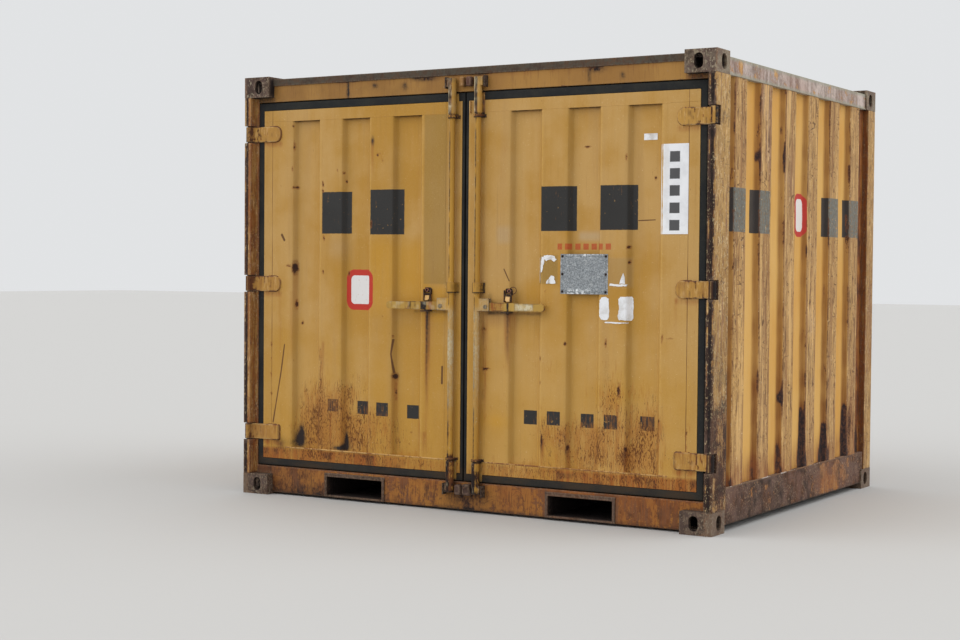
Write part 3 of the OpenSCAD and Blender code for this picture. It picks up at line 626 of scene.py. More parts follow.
M = {}
M["door"] = door_material()
M["wall"] = wall_material()
M["post"] = rusted_material("post_paint", lin(182, 143, 84), lin(164, 126, 72), lin(52, 36, 30), lin(86, 63, 49), 0.44,
                            fleck=lin(202, 180, 138), fleck_amount=0.62, purple=0.35, rubbed=0.55, tint=(150, 144, 102), scuffed=0.75)
M["fitting"] = rusted_material("fitting_steel", lin(118, 98, 82), lin(104, 86, 74), lin(62, 47, 40), lin(82, 66, 57), 0.42,
                               stretch=(1, 1, 1), orange=0.2, purple=0.5, fine_amp=0.12, tint=(140, 130, 110),
                               fleck=lin(168, 156, 132), fleck_amount=0.75)
M["header"] = rusted_material("frame_paint", lin(164, 121, 61), lin(150, 108, 54), lin(62, 43, 36), lin(96, 66, 45), 0.98, orange=0.2,
                              tint=(80, 74, 64), fleck=lin(150, 142, 126), fleck_amount=-0.02)
M["sill"] = rusted_material("sill_paint", lin(170, 116, 50), lin(150, 98, 46), lin(72, 50, 38), lin(116, 76, 46), 0.66,
                            purple=0.25, orange=0.7, hue=(142, 86, 36), fleck=lin(176, 130, 70), fleck_amount=0.1, rubbed=0.5)
M["toprail"] = rusted_material("rail_paint", lin(73, 59, 51), lin(66, 54, 49), lin(46, 37, 34), lin(67, 53, 47), 0.42,
                               fleck=lin(150, 136, 120), fleck_amount=0.22, purple=0.4, stretch=(0.35, 1, 1), orange=0.25)
M["endtop"] = rusted_material("end_rail_paint", lin(200, 150, 84), lin(190, 144, 90), lin(128, 110, 100), lin(200, 184, 176), 0.30,
                              fleck=lin(214, 196, 170), fleck_amount=0.40, stretch=(1, 1, 0.30), orange=0.25, hue=(146, 96, 72),
                              tint=(156, 156, 140), scuffed=0.5)
M["endbot"] = rusted_material("end_rail_rust", lin(178, 118, 48), lin(148, 98, 52), lin(70, 52, 44), lin(116, 90, 72), 0.44,
                              fleck=lin(172, 146, 118), fleck_amount=0.62, purple=0.45, stretch=(1, 0.9, 1.0), orange=0.4,
                              rubbed=0.5, scuffed=0.45)
M["gear"] = rusted_material("gear_paint", lin(184, 140, 68), lin(170, 126, 60), lin(64, 40, 30), lin(106, 66, 42), 0.80,
                            tint=(200, 164, 104), scuffed=0.25)
M["guide"] = rusted_material("guide_paint", lin(184, 140, 62), lin(170, 126, 54), lin(64, 40, 30), lin(110, 70, 44), 0.92)
M["weld"] = rusted_material("weld_paint", lin(204, 162, 98), lin(184, 140, 78), lin(96, 58, 34), lin(140, 90, 48), 0.66,
                            fleck=lin(232, 206, 150), fleck_amount=0.35)
M["sealant_and_highlight"] = rusted_material("sealant_and_highlight", lin(226, 226, 226), lin(200, 196, 190), lin(86, 68, 54), lin(128, 104, 82), 0.50,
                               stretch=(1, 0.35, 1))
M["catch"] = rusted_material("catch_paint", lin(178, 134, 62), lin(160, 116, 52), lin(44, 28, 26), lin(78, 48, 38), 0.48,
                             orange=0.15, tint=(154, 92, 74))
M["flap"] = rusted_material("flap_paint", lin(226, 184, 124), lin(212, 168, 104), lin(70, 44, 30), lin(120, 78, 46), 0.90)
M["rim"] = rusted_material("pocket_steel", lin(126, 106, 84), lin(108, 90, 72), lin(62, 48, 40), lin(92, 72, 56), 0.55, purple=0.3)
M["keeper"] = rusted_material("keeper_paint", lin(160, 118, 58), lin(136, 96, 56), lin(58, 38, 34), lin(100, 62, 48), 0.60, purple=0.2, scuffed=0.4)
M["rod"] = rusted_material("rod_paint", lin(186, 140, 58), lin(170, 126, 52), lin(60, 38, 28), lin(112, 68, 38), 0.84,
                           stretch=(1, 1, 0.16), fleck=lin(196, 176, 140), fleck_amount=0.15, tint=(190, 176, 144))
M["grip"] = rusted_material("grip_paint", lin(180, 144, 70), lin(166, 128, 58), lin(70, 46, 30), lin(110, 72, 40), 0.80,
                            fleck=lin(200, 176, 120), fleck_amount=0.12, tint=(206, 196, 166))
M["bare"] = rusted_material("bare_steel", lin(100, 78, 62), lin(86, 68, 58), lin(52, 38, 34), lin(90, 66, 54), 0.32, purple=0.45,
                            stretch=(1, 1, 1))
M["roof"] = rusted_material("roof_paint", lin(166, 130, 78), lin(150, 116, 74), lin(84, 60, 46), lin(116, 88, 64), 0.60,
                            purple=0.3, stretch=(1, 1, 1))
M["rubber"] = rubber_material()
M["plate"] = plate_material()
M["sticker"] = sticker_material()
M["panel"] = panel_material()
M["wood"] = wood_material()
M["under"] = under_material()


# ---------------------------------------------------------------- mesh making
def store(mesh, attrs):
    for name, values in attrs.items():
        a = mesh.attributes.new(name, "FLOAT", "POINT")
        a.data.foreach_set("value", np.asarray(values, np.float32))


def piece(name, mesh, material, body, replaces=(), sharp=40.0, weighted=False):
    ob = bpy.data.objects.new(name, mesh)
    bpy.context.scene.collection.objects.link(ob)
    mesh.materials.append(M[material])
    mesh.polygons.foreach_set("use_smooth", np.ones(len(mesh.polygons), bool))
    mesh.set_sharp_from_angle(angle=math.radians(sharp))
    if weighted:
        w = ob.modifiers.new("wn", "WEIGHTED_NORMAL")
        w.keep_sharp = True
        w.weight = 60
    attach(ob, body)
    if replaces:
        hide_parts(*replaces)
    return ob


def mesh_of(name, verts, faces):
    me = bpy.data.meshes.new(name)
    me.from_pydata(np.asarray(verts, float).tolist(), [], faces)
    me.update()
    return me


def coords(mesh):
    co = np.zeros(len(mesh.vertices) * 3, np.float32)
    mesh.vertices.foreach_get("co", co)
    return co.reshape(-1, 3).astype(float)


def refine(node, bevel=2.0, step=60.0, inset=9.0, segs=2, angle=30.0, axes=(0, 1, 2), pre=None, extra=()):
    """A copy of a CAD node's mesh with rounded edges and enough vertices for wear. Returns mesh."""
    bm = bmesh.new()
    bm.from_mesh(NODES[node].data)
    bmesh.ops.remove_doubles(bm, verts=bm.verts, dist=2e-5)
    bmesh.ops.dissolve_limit(bm, angle_limit=math.radians(0.5), verts=bm.verts, edges=bm.edges, delimit=set())
    bm.normal_update()
    if pre is not None:
        pre(bm)
    tag = bm.faces.layers.int.new("bev")
    hollow = bm.verts.layers.float.new("hollow")
    for e in bm.edges:
        if len(e.link_faces) == 2 and not e.is_convex and e.calc_face_angle(0.0) > math.radians(angle):
            for v in e.verts:
                v[hollow] = 1.0
    edges = [e for e in bm.edges if len(e.link_faces) == 2 and e.is_convex and e.calc_face_angle(0.0) > math.radians(angle)]
    if bevel and edges:
        out = bmesh.ops.bevel(bm, geom=edges, offset=bevel / 1000, offset_type="OFFSET", segments=segs, profile=0.5,
                              affect="EDGES", clamp_overlap=True)
        for f in out["faces"]:
            f[tag] = 1
    co = np.array([v.co for v in bm.verts]) * 1000
    lo, hi = co.min(0), co.max(0)
    for ax in axes:
        cuts = set()
        n = int((hi[ax] - lo[ax]) // step)
        for k in range(1, n + 1):
            cuts.add(round(lo[ax] + (hi[ax] - lo[ax]) * k / (n + 1), 2))
        if inset and hi[ax] - lo[ax] > 3 * inset:
            cuts.add(round(lo[ax] + inset, 2))
            cuts.add(round(hi[ax] - inset, 2))
        if ax == 0:
            cuts.update(c for c in extra if lo[0] + 1 < c < hi[0] - 1)
        no = Vector((0, 0, 0))
        no[ax] = 1.0
        for c in sorted(cuts):
            p = Vector((0, 0, 0))
            p[ax] = c / 1000
            bmesh.ops.bisect_plane(bm, geom=bm.verts[:] + bm.edges[:] + bm.faces[:], dist=1e-6, plane_co=p, plane_no=no)
    edge = [1.0 if any(f[tag] for f in v.link_faces) else 0.0 for v in bm.verts]
    me = bpy.data.meshes.new(node + "_steel")
    bm.to_mesh(me)
    bm.free()
    for extra in ("bev", "hollow"):
        a = me.attributes.get(extra)
        if a is not None:
            me.attributes.remove(a)
    store(me, {"edge": edge})
    return me


def fillet_path(points, radius, segs, step):
    """Points of a folded line with rounded folds. Gives (n,2) positions and, for each, how much it lies in a fold."""
    P = [np.array(p, float) for p in points]
    out = [(P[0], 0.0)]
    for i in range(1, len(P) - 1):
        a, b, c = P[i - 1], P[i], P[i + 1]
        u, v = (a - b) / np.linalg.norm(a - b), (c - b) / np.linalg.norm(c - b)
        half = math.acos(np.clip(np.dot(u, v), -1, 1)) / 2
        d = radius / math.tan(half)
        centre = b + (u + v) / np.linalg.norm(u + v) * radius / math.sin(half)
        s, e = b + u * d - centre, b + v * d - centre
        a0, a1 = math.atan2(s[1], s[0]), math.atan2(e[1], e[0])
        while a1 - a0 > math.pi:
            a1 -= 2 * math.pi
        while a1 - a0 < -math.pi:
            a1 += 2 * math.pi
        for k in range(segs + 1):
            t = a0 + (a1 - a0) * k / segs
            out.append((centre + radius * np.array([math.cos(t), math.sin(t)]), 1.0))
    out.append((P[-1], 0.0))
    pts, fold = [out[0][0]], [0.0]
    for (p, f), (q, h) in zip(out, out[1:]):
        L = np.linalg.norm(q - p)
        n = max(1, int(math.ceil(L / step)))
        for k in range(1, n + 1):
            pts.append(p + (q - p) * k / n)
            fold.append(h if k == n else 0.0)
    return np.array(pts), np.array(fold)


def sheet(name, path, fold, zs, place, thick, dent, attrs):
    """A folded sheet, closed. path is (u, w) with w outward; place turns (u, w, z) in mm into metres."""
    n, m = len(path), len(zs)
    U, Z = np.meshgrid(path[:, 0], zs, indexing="ij")
    W = np.repeat(path[:, 1][:, None], m, 1)
    D = dent(U, Z)
    front = place(U.ravel(), (W + D).ravel(), Z.ravel())
    ub, wb = path[:, 0], path[:, 1] - thick
    back = np.concatenate([place(ub, wb, np.full(n, zs[0])), place(ub, wb, np.full(n, zs[-1]))])
    verts = np.concatenate([front, back])
    faces = []
    f = lambda i, j: i * m + j
    lo, hi = n * m, n * m + n
    for i in range(n - 1):
        for j in range(m - 1):
            faces.append((f(i, j), f(i + 1, j), f(i + 1, j + 1), f(i, j + 1)))
        faces.append((lo + i + 1, lo + i, hi + i, hi + i + 1))
        faces.append((f(i + 1, 0), f(i, 0), lo + i, lo + i + 1))
        faces.append((f(i, m - 1), f(i + 1, m - 1), hi + i + 1, hi + i))
    faces.append(tuple([f(0, j) for j in range(m)] + [hi, lo]))
    faces.append(tuple([f(n - 1, j) for j in range(m - 1, -1, -1)] + [lo + n - 1, hi + n - 1]))
    me = mesh_of(name, verts, faces)
    bm = bmesh.new()
    bm.from_mesh(me)
    bmesh.ops.recalc_face_normals(bm, faces=bm.faces)
    bm.to_mesh(me)
    bm.free()
    F = np.repeat(fold[:, None], m, 1)
    got = attrs(U, W, Z, F)
    got["skin"] = np.ones_like(U)
    store(me, {k: np.concatenate([v.ravel(), np.zeros(2 * n)]) for k, v in got.items()})
    return me


def prism(bm, poly, z0, z1, axis=2):
    """A closed prism on a polygon of (a, b) in mm. axis 2: polygon in X,Y; axis 0: in Y,Z; axis 1: in X,Z."""
    def at(p, h):
        if axis == 2:
            return Vector((p[0], p[1], h)) / 1000
        if axis == 0:
            return Vector((h, p[0], p[1])) / 1000
        return Vector((p[0], h, p[1])) / 1000
    a = [bm.verts.new(at(p, z0)) for p in poly]
    b = [bm.verts.new(at(p, z1)) for p in poly]
    n = len(poly)
    fs = [bm.faces.new(a[::-1]), bm.faces.new(b)]
    for i in range(n):
        fs.append(bm.faces.new((a[i], a[(i + 1) % n], b[(i + 1) % n], b[i])))
    bmesh.ops.recalc_face_normals(bm, faces=fs)
    return fs


def boxy(bm, lo, hi):
    return prism(bm, [(lo[0], lo[1]), (hi[0], lo[1]), (hi[0], hi[1]), (lo[0], hi[1])], lo[2], hi[2])


def rounded(bm, bevel, segs=2, angle=30.0):
    edges = [e for e in bm.edges if len(e.link_faces) == 2 and e.is_convex and e.calc_face_angle(0.0) > math.radians(angle)]
    tag = bm.faces.layers.int.get("bev") or bm.faces.layers.int.new("bev")
    out = bmesh.ops.bevel(bm, geom=edges, offset=bevel / 1000, offset_type="OFFSET", segments=segs, profile=0.5,
                          affect="EDGES", clamp_overlap=True)
    for f in out["faces"]:
        f[tag] = 1


def cut_up(bm, ax, cuts):
    no = Vector((0, 0, 0))
    no[ax] = 1.0
    for c in cuts:
        p = Vector((0, 0, 0))
        p[ax] = c / 1000
        bmesh.ops.bisect_plane(bm, geom=bm.verts[:] + bm.edges[:] + bm.faces[:], dist=1e-6, plane_co=p, plane_no=no)


def bm_mesh(bm, name):
    tag = bm.faces.layers.int.get("bev")
    edge = [1.0 if tag is not None and any(f[tag] for f in v.link_faces) else 0.0 for v in bm.verts]
    me = bpy.data.meshes.new(name)
    bm.to_mesh(me)
    bm.free()
    a = me.attributes.get("bev")
    if a is not None:
        me.attributes.remove(a)
    store(me, {"edge": edge})
    return me


# ---------------------------------------------------------------- wear on the doors
def door_wear(X, Z):
    """Rust, stains and grime of both doors, and painted shadow under the handles, by place on the door side, in mm."""
    n1 = field(X, Z, 1 / 90.0, 11)
    n2 = field(X, Z, 1 / 35.0, 12)
    rust = np.zeros_like(X)
    spot = np.zeros_like(X)
    dark = np.zeros_like(X)
    stain = np.zeros_like(X)
    # flecked fields low on both doors
    rust += 0.90 * area(X, Z, -1130, -900, 262, 500, 60) * (0.5 + 0.6 * n1)
    rust += 0.80 * area(X, Z, -1130, -740, 262, 680, 110) * (0.45 + 0.7 * n1)
    rust += 0.70 * area(X, Z, -820, -430, 262, 540, 90) * (0.4 + 0.8 * n1)
    rust += 0.40 * area(X, Z, -1010, -900, 560, 920, 60) * (0.4 + 0.8 * n1)
    rust += 0.50 * area(X, Z, -992, -958, 560, 980, 12) * (0.4 + 0.8 * n2)
    rust += 0.35 * area(X, Z, -860, -640, 560, 760, 60) * n1
    rust += 0.22 * area(X, Z, -470, -140, 212, 440, 80)
    rust += 0.90 * area(X, Z, 960, 1180, 275, 520, 60) * (0.5 + 0.6 * n1)
    rust += 0.80 * area(X, Z, 800, 1180, 280, 720, 90) * (0.45 + 0.7 * n1)
    rust += 0.45 * area(X, Z, 835, 960, 600, 880, 60) * (0.4 + 0.8 * n1)
    rust += 0.75 * area(X, Z, 470, 880, 280, 540, 80) * (0.45 + 0.7 * n1)
    rust += 0.30 * area(X, Z, 460, 570, 480, 940, 50) * n1
    rust += 0.30 * area(X, Z, 190, 480, 200, 320, 50)
    rust += 0.20 * area(X, Z, 1180, 1330, 212, 560, 60) * n1
    rust += 0.20 * area(X, Z, -1330, -1140, 212, 520, 60) * n1
    stain += 0.50 * area(X, Z, -1120, -800, 262, 600, 90) * (0.35 + n1 * 0.7)
    stain += 0.28 * area(X, Z, -820, -460, 262, 500, 80) * (0.35 + n1 * 0.7)
    stain += 0.52 * area(X, Z, 900, 1185, 280, 600, 70) * (0.35 + n1 * 0.7)
    stain += 0.34 * area(X, Z, 470, 930, 280, 520, 70) * (0.35 + n1 * 0.7)
    # below the lower weld
    low = 1 - ease(Z, 262, 284)
    stain += low * (0.55 + 0.55 * n1) * (0.45 + 0.55 * ease(np.abs(X), 300, 700))
    rust += low * (0.35 + 0.35 * ease(np.abs(X), 300, 800)) * (0.5 + n2)
    dark += low * 0.35 * ease(n1 * n2, 0.30, 0.55)
    stain += 0.25 * low * ease(X, 700, 1300)
    # single spots: X, Z, radius X, radius Z, strength
    for x, z, rx, rz, a in ((-581, 1969, 9, 12, .8), (-565, 1975, 6, 8, .6), (-547, 1936, 7, 8, .55), (-1178, 2149, 6, 10, .7),
                            (-1172, 2034, 9, 42, .45), (-1183, 1905, 8, 18, .6), (-1164, 1794, 24, 10, .8), (-961, 1809, 8, 22, .8),
                            (-961, 1772, 8, 12, .8), (-809, 1825, 8, 12, .7), (-821, 1872, 8, 10, .7), (-862, 1888, 6, 8, .6),
                            (-623, 1579, 9, 26, .8), (-953, 1500, 9, 20, .75), (-1167, 1327, 20, 42, .9), (-1205, 1340, 24, 12, .5),
                            (-958, 1305, 8, 18, .7), (-794, 1297, 8, 20, .7), (-1262, 1806, 5, 6, .5), (-1160, 1120, 12, 34, .7),
                            (-1122, 1010, 12, 12, .8), (-1330, 880, 6, 10, .9), (-1330, 790, 6, 9, .8), (-1330, 700, 6, 10, .9), (-1326, 590, 6, 9, .8),
                            (-462, 724, 20, 20, .95), (-459, 640, 9, 60, .5), (-472, 950, 7, 9, .6), (-540, 1060, 6, 8, .4),
                            (735, 1973, 22, 7, .8), (975, 1915, 7, 22, .7), (1131, 1802, 8, 16, .8), (990, 1449, 14, 12, .8),
                            (995, 1373, 9, 12, .8), (626, 940, 10, 14, .85), (866, 952, 9, 26, .75), (476, 857, 8, 14, .6),
                            (477, 729, 7, 12, .6), (944, 705, 12, 44, .85), (138, 790, 32, 9, .9), (1188, 980, 9, 34, .6),
                            (1230, 985, 30, 6, .4), (490, 419, 8, 42, .95), (643, 392, 9, 20, .9), (612, 388, 26, 5, .55),
                            (985, 402, 10, 18, .9), (1000, 372, 8, 12, .7), (1170, 560, 9, 12, .9), (128, 1005, 18, 12, .7), (506, 1216, 7, 9, .5),
                            (1326, 505, 6, 40, .5), (1326, 430, 6, 40, .4), (-360, 415, 10, 8, .6), (-372, 350, 10, 8, .6)):
        spot = np.maximum(spot, blob(X, Z, x, z, max(rx * 0.80, 5.5), max(rz * 0.85, 6.0), min(1.0, a * 1.1)))
    for x, z, rx, rz, a in ((-1131, 340, 30, 44, 1.05), (-1124, 382, 17, 40, .55), (-1150, 306, 40, 24, .45), (-806, 308, 20, 20, .85), (-836, 296, 38, 11, .6),
                            (-803, 356, 9, 44, .75), (-795, 335, 15, 26, .45), (-462, 724, 16, 16, .5),
                            (-616, 2046, 10, 22, .9), (-1255, 300, 40, 34, .35), (640, 380, 6, 34, .35), (982, 376, 7, 40, .4),
                            (490, 405, 7, 40, .6), (-1167, 1330, 13, 30, .6), (-842, 300, 40, 12, .5)):
        dark += blob(X, Z, x, z, rx, rz, a) * (0.80 + 0.45 * n2)
    dark += drip(X, Z, -243, 1096, 560, 7, 0.95, power=0.9) + drip(X, Z, -229, 1096, 820, 6, 0.55) + drip(X, Z, 274, 1098, 820, 9, 0.60)
    # painted shadow under the left handle (this line) and the right handle (next line)
    dark += 0.45 * area(X, Z, -345, -118, 1086, 1101, 7) * (0.4 + n1)
    dark += 0.55 * area(X, Z, 150, 300, 1084, 1102, 8) * (0.4 + n1) + 0.35 * area(X, Z, 150, 175, 1080, 1200, 12) * n1
    # runs: X, top, bottom, width, strength
    for x, t, b, w, a in ((-616, 2050, 1850, 9, .8), (-896, 492, 300, 10, .8), (-243, 1085, 290, 13, .9), (-232, 1080, 640, 22, .35),
                          (274, 1100, 760, 12, .85), (300, 1095, 880, 18, .35), (258, 1090, 860, 8, .5), (1172, 560, 285, 8, .95),
                          (940, 640, 300, 9, .5), (490, 420, 250, 10, .9), (643, 380, 250, 9, .5), (-1164, 1290, 900, 12, .3),
                          (-1185, 1190, 700, 10, .28), (-955, 900, 720, 8, .5), (-462, 715, 470, 14, .5), (-1268, 1180, 700, 8, .35),
                          (-1262, 300, 215, 22, .6), (-1160, 270, 212, 14, .6), (-1355, 330, 212, 10, .7), (1290, 320, 215, 12, .6),
                          (1350, 320, 215, 12, .6), (1262, 1180, 1000, 6, .35), (-300, 480, 240, 10, .4), (-255, 420, 212, 16, .4),
                          (985, 400, 270, 7, .7), (1002, 372, 285, 6, .5), (820, 275, 212, 12, .5), (740, 280, 212, 10, .4), (985, 300, 212, 12, .5), (190, 320, 230, 8, .4)):
        stain += drip(X, Z, x, t, b, w, a, wander=2.0)
        rust += drip(X, Z, x, t, t - (t - b) * 0.6, w * 0.6, a * 0.34)
    # beside and behind the right rod
    side = area(X, Z, 112, 150, 400, 1120, 14) * ease(Z, 400, 800)
    stain += side * (0.30 + 0.45 * n1)
    rust += side * 0.42 * n2
    dark += 0.30 * area(X, Z, 116, 136, 620, 1080, 10) * n1
    stain += 0.25 * area(X, Z, 150, 240, 1020, 1120, 30)
    # painted shadow under the right handle
    dark += 0.5 * area(X, Z, 130, 480, 1086, 1102, 10) * (0.4 + n1)
    # around hinges and along the seams
    for s in (-1, 1):
        for hz in HINGE_Z:
            rust += 0.35 * area(X, Z, *sorted((s * 1250, s * 1400)), hz - 62, hz - 44, 8) * (0.5 + n2)
            stain += 0.40 * area(X, Z, *sorted((s * 1258, s * 1395)), hz - 74, hz - 44, 10) * (0.5 + n2)
        rust += 0.10 * blob(X, Z * 0, s * SEAM_X, 0, 7, 1) * (0.6 + n2) * (Z < 1300)
    rust += 0.05 * (1 - ease(Z, 300, 1100))
    tan = area(X, Z, 690, 830, 1484, 1528, 18) * 0.7 + area(X, Z, 205, 285, 1470, 1560, 22) * 0.6
    tan += blob(X, Z, -853, 1448, 70, 70, .35) + area(X, Z, 880, 1010, 1240, 1395, 10) * 0.22
    fresh = area(X, Z, -110, 60, 212, 2240, 20) * 0.0
    fresh = fresh + area(X, Z, 110, 560, 950, 1260, 60) * 0.30 * n1 + blob(X, Z, 205, 512, 60, 40, .5)
    fresh = fresh + area(X, Z, -640, -280, 1080, 1480, 70) * 0.42 + area(X, Z, -260, -110, 1040, 1230, 20) * 0.45
    dull = area(X, Z, -268, -113, 1246, 2178, 3) * 0.66
    dull = dull + area(X, Z, 459, 578, 1254, 1405, 3) * 0.80 + area(X, Z, 880, 1001, 1249, 1392, 3) * 0.34
    return rust, spot, dark, stain, tan, fresh, dull


def door_attrs(X, Z):
    rust, spot, dark, stain, tan, fresh, dull = door_wear(X, Z)
    return {"rust": np.clip(rust, 0, 1.3), "spot": np.clip(spot, 0, 1), "dark": np.clip(dark, 0, 1.7), "stain": np.clip(stain, 0, 1.1),
            "tan": np.clip(tan, 0, 1), "fresh": np.clip(fresh, 0, 1), "dull": np.clip(dull, 0, 1)}


# ---------------------------------------------------------------- door skins
def door_panel(side):
    s = 1 if side == "right" else -1
    line = [(PAN_IN, 0.0)]
    for k in range(3):
        c = 380 + 350 * k
        line += [(c - 97, 0.0), (c - 75, -RIB_DEPTH), (c + 75, -RIB_DEPTH), (c + 97, 0.0)]
    line += [(SEAM_X, 0.0)]
    path, fold = fillet_path(line, 11.0, 4, 7.6)
    zs = np.concatenate([[PAN_LO], np.linspace(PAN_LO + 6, PAN_HI - 6, 236), [PAN_HI]])

    def dent(U, Z):
        edge = ease(Z, PAN_LO, PAN_LO + 60) * (1 - ease(Z, PAN_HI - 60, PAN_HI)) * ease(U, PAN_IN, PAN_IN + 40) * (1 - ease(U, SEAM_X - 60, SEAM_X))
        d = (field(U, Z, 1 / 260.0, 21 + s) - 0.62) * 3.4 + (field(U, Z, 1 / 95.0, 31 + s) - 0.6) * 1.0
        return -np.abs(d) * edge

    def place(u, w, z):
        return np.stack([s * u, DOOR_Y - w, z], 1) / 1000

    def attrs(U, W, Z, F):
        X = s * U
        out = door_attrs(X, Z)
        # folds: painted shade, mostly on the left fold of each recess, and a painted highlight along its right edge
        shade = np.zeros_like(X)
        worn = np.zeros_like(X)
        for k in range(3):
            c = s * (380 + 350 * k)
            shade += blob(X, Z * 0, c - 84, 0, 20, 1, .30)
            shade += blob(X, Z * 0, c - 62, 0, 34, 1, .16)
            worn += blob(X, Z * 0, c + 98, 0, 6, 1, .55)
            shade += blob(X, Z * 0, c + 80, 0, 12, 1, .10)
        ends = ease(Z, PAN_LO, PAN_LO + 50)
        out["shade"] = np.clip(shade * (0.35 + 0.65 * ends), 0, 1)
        out["worn"] = np.clip(worn, 0, 1)
        # painted shadow of the top rail across the top of each recess
        top = (1 - ease(PAN_HI - Z, 0, 10)) * (W < -4)
        out["dark"] = np.clip(out["dark"] + 0.75 * top, 0, 1.7)
        return out

    me = sheet(side + "_door_skin", path, fold, zs, place, 3.6, dent, attrs)
    return piece(side + "_door_skin", me, "door", side + "_door", [side + "_door_panel"], sharp=38)


def door_frame(side):
    s = 1 if side == "right" else -1
    y0, y1 = DOOR_Y, DOOR_Y + LEAF_T
    bm = bmesh.new()
    boxy(bm, (LEAF_IN, y0, LEAF_LO), (PAN_IN - 0.2, y1, LEAF_HI))
    boxy(bm, (PAN_IN, y0, LEAF_LO), (LEAF_OUT, y1, PAN_LO - 0.2))
    boxy(bm, (PAN_IN, y0, PAN_HI + 0.2), (LEAF_OUT, y1, LEAF_HI))
    prism(bm, [(PAN_OUT, y0 + 4.2), (SEAM_X + 0.2, y0 + 4.2), (SEAM_X + 0.2, y0), (LEAF_OUT, y0), (LEAF_OUT, y1), (PAN_OUT, y1)],
          PAN_LO, PAN_HI)
    rounded(bm, 0.9, 1)
    cut_up(bm, 2, list(np.arange(224, 2240, 13.0)))
    cut_up(bm, 0, [34, 47, 60, 73, 86, 99, 112] + list(np.arange(138, 1390, 14.0)))
    cut_up(bm, 1, [y0 + 8, y0 + 26])
    if s < 0:
        bmesh.ops.scale(bm, vec=(-1, 1, 1), verts=bm.verts)
        bmesh.ops.reverse_faces(bm, faces=bm.faces)
    me = bm_mesh(bm, side + "_door_rails")
    co = coords(me) * 1000
    out = door_attrs(co[:, 0], co[:, 2])
    skin = 1 - ease(co[:, 1], DOOR_Y + 2, DOOR_Y + 12)
    for k in out:
        out[k] = out[k] * (skin if k != "rust" else 0.4 + 0.6 * skin)
    out["rust"] = out["rust"] + 0.10
    rim = np.maximum(ease(np.abs(co[:, 0]), LEAF_OUT - 8, LEAF_OUT - 1), 1 - ease(np.abs(co[:, 0]), LEAF_IN + 1, LEAF_IN + 7))
    out["worn"] = 0.5 * rim * skin
    out["skin"] = 1 - ease(co[:, 1], DOOR_Y + 1, DOOR_Y + 4)
    store(me, out)
    return piece(side + "_door_rails", me, "door", side + "_door", [side + "_door_frame"], weighted=True)


def gasket(side):
    """Rubber seal: a lip profile run round the leaf."""
    s = 1 if side == "right" else -1
    outer = (3.5, 1426.0, 170.0, 2289.0)
    inner = (LEAF_IN, LEAF_OUT, LEAF_LO, LEAF_HI)
    # profile: share across from the leaf to the outer edge, and depth behind the door face
    prof = [(0.0, 24.0), (0.0, 3.4), (0.05, 2.0), (0.14, 1.2), (0.28, 0.8), (0.42, 0.6), (0.56, 0.5), (0.70, 0.5),
            (0.82, 0.8), (0.92, 1.6), (0.97, 3.0), (1.0, 5.0), (1.0, 24.0)]
    corners = [(0, 2), (1, 2), (1, 3), (0, 3)]
    verts, faces = [], []
    n = len(prof)
    steps = 40
    ring = []
    for c in range(4):
        a, b = corners[c], corners[(c + 1) % 4]
        for k in range(steps):
            t = k / steps
            ring.append((a, b, t))
    for a, b, t in ring:
        for share, depth in prof:
            def at(corner):
                return (inner[corner[0]] + (outer[corner[0]] - inner[corner[0]]) * share,
                        inner[corner[1]] + (outer[corner[1]] - inner[corner[1]]) * share)
            pa, pb = at(a), at(b)
            verts.append((s * (pa[0] + (pb[0] - pa[0]) * t), DOOR_Y + depth, pa[1] + (pb[1] - pa[1]) * t))
    total = len(ring)
    for i in range(total):
        j = (i + 1) % total
        for k in range(n):
            l = (k + 1) % n
            faces.append((i * n + k, j * n + k, j * n + l, i * n + l))
    verts = np.array(verts)
    # old rubber is a little wavy on its lip
    wave = (field(verts[:, 0] + verts[:, 2], verts[:, 2] * 0.7, 1 / 90.0, 77) - 0.5)
    verts[:, 1] += np.where(verts[:, 1] < DOOR_Y + 8, np.abs(wave) * 1.6, 0)
    me = mesh_of(side + "_door_seal", verts / 1000, faces)
    bm = bmesh.new()
    bm.from_mesh(me)
    bmesh.ops.recalc_face_normals(bm, faces=bm.faces)
    bm.to_mesh(me)
    bm.free()
    # painted shade on the seal's inner and outer side walls and the front edges next to them, where it meets the gaps
    depth = np.tile([1.0 if p[1] > 2.9 else 0.0 for p in prof], total)
    store(me, {"dark": depth})
    return piece(side + "_door_seal", me, "rubber", side + "_door", [side + "_door_gasket"], sharp=70)


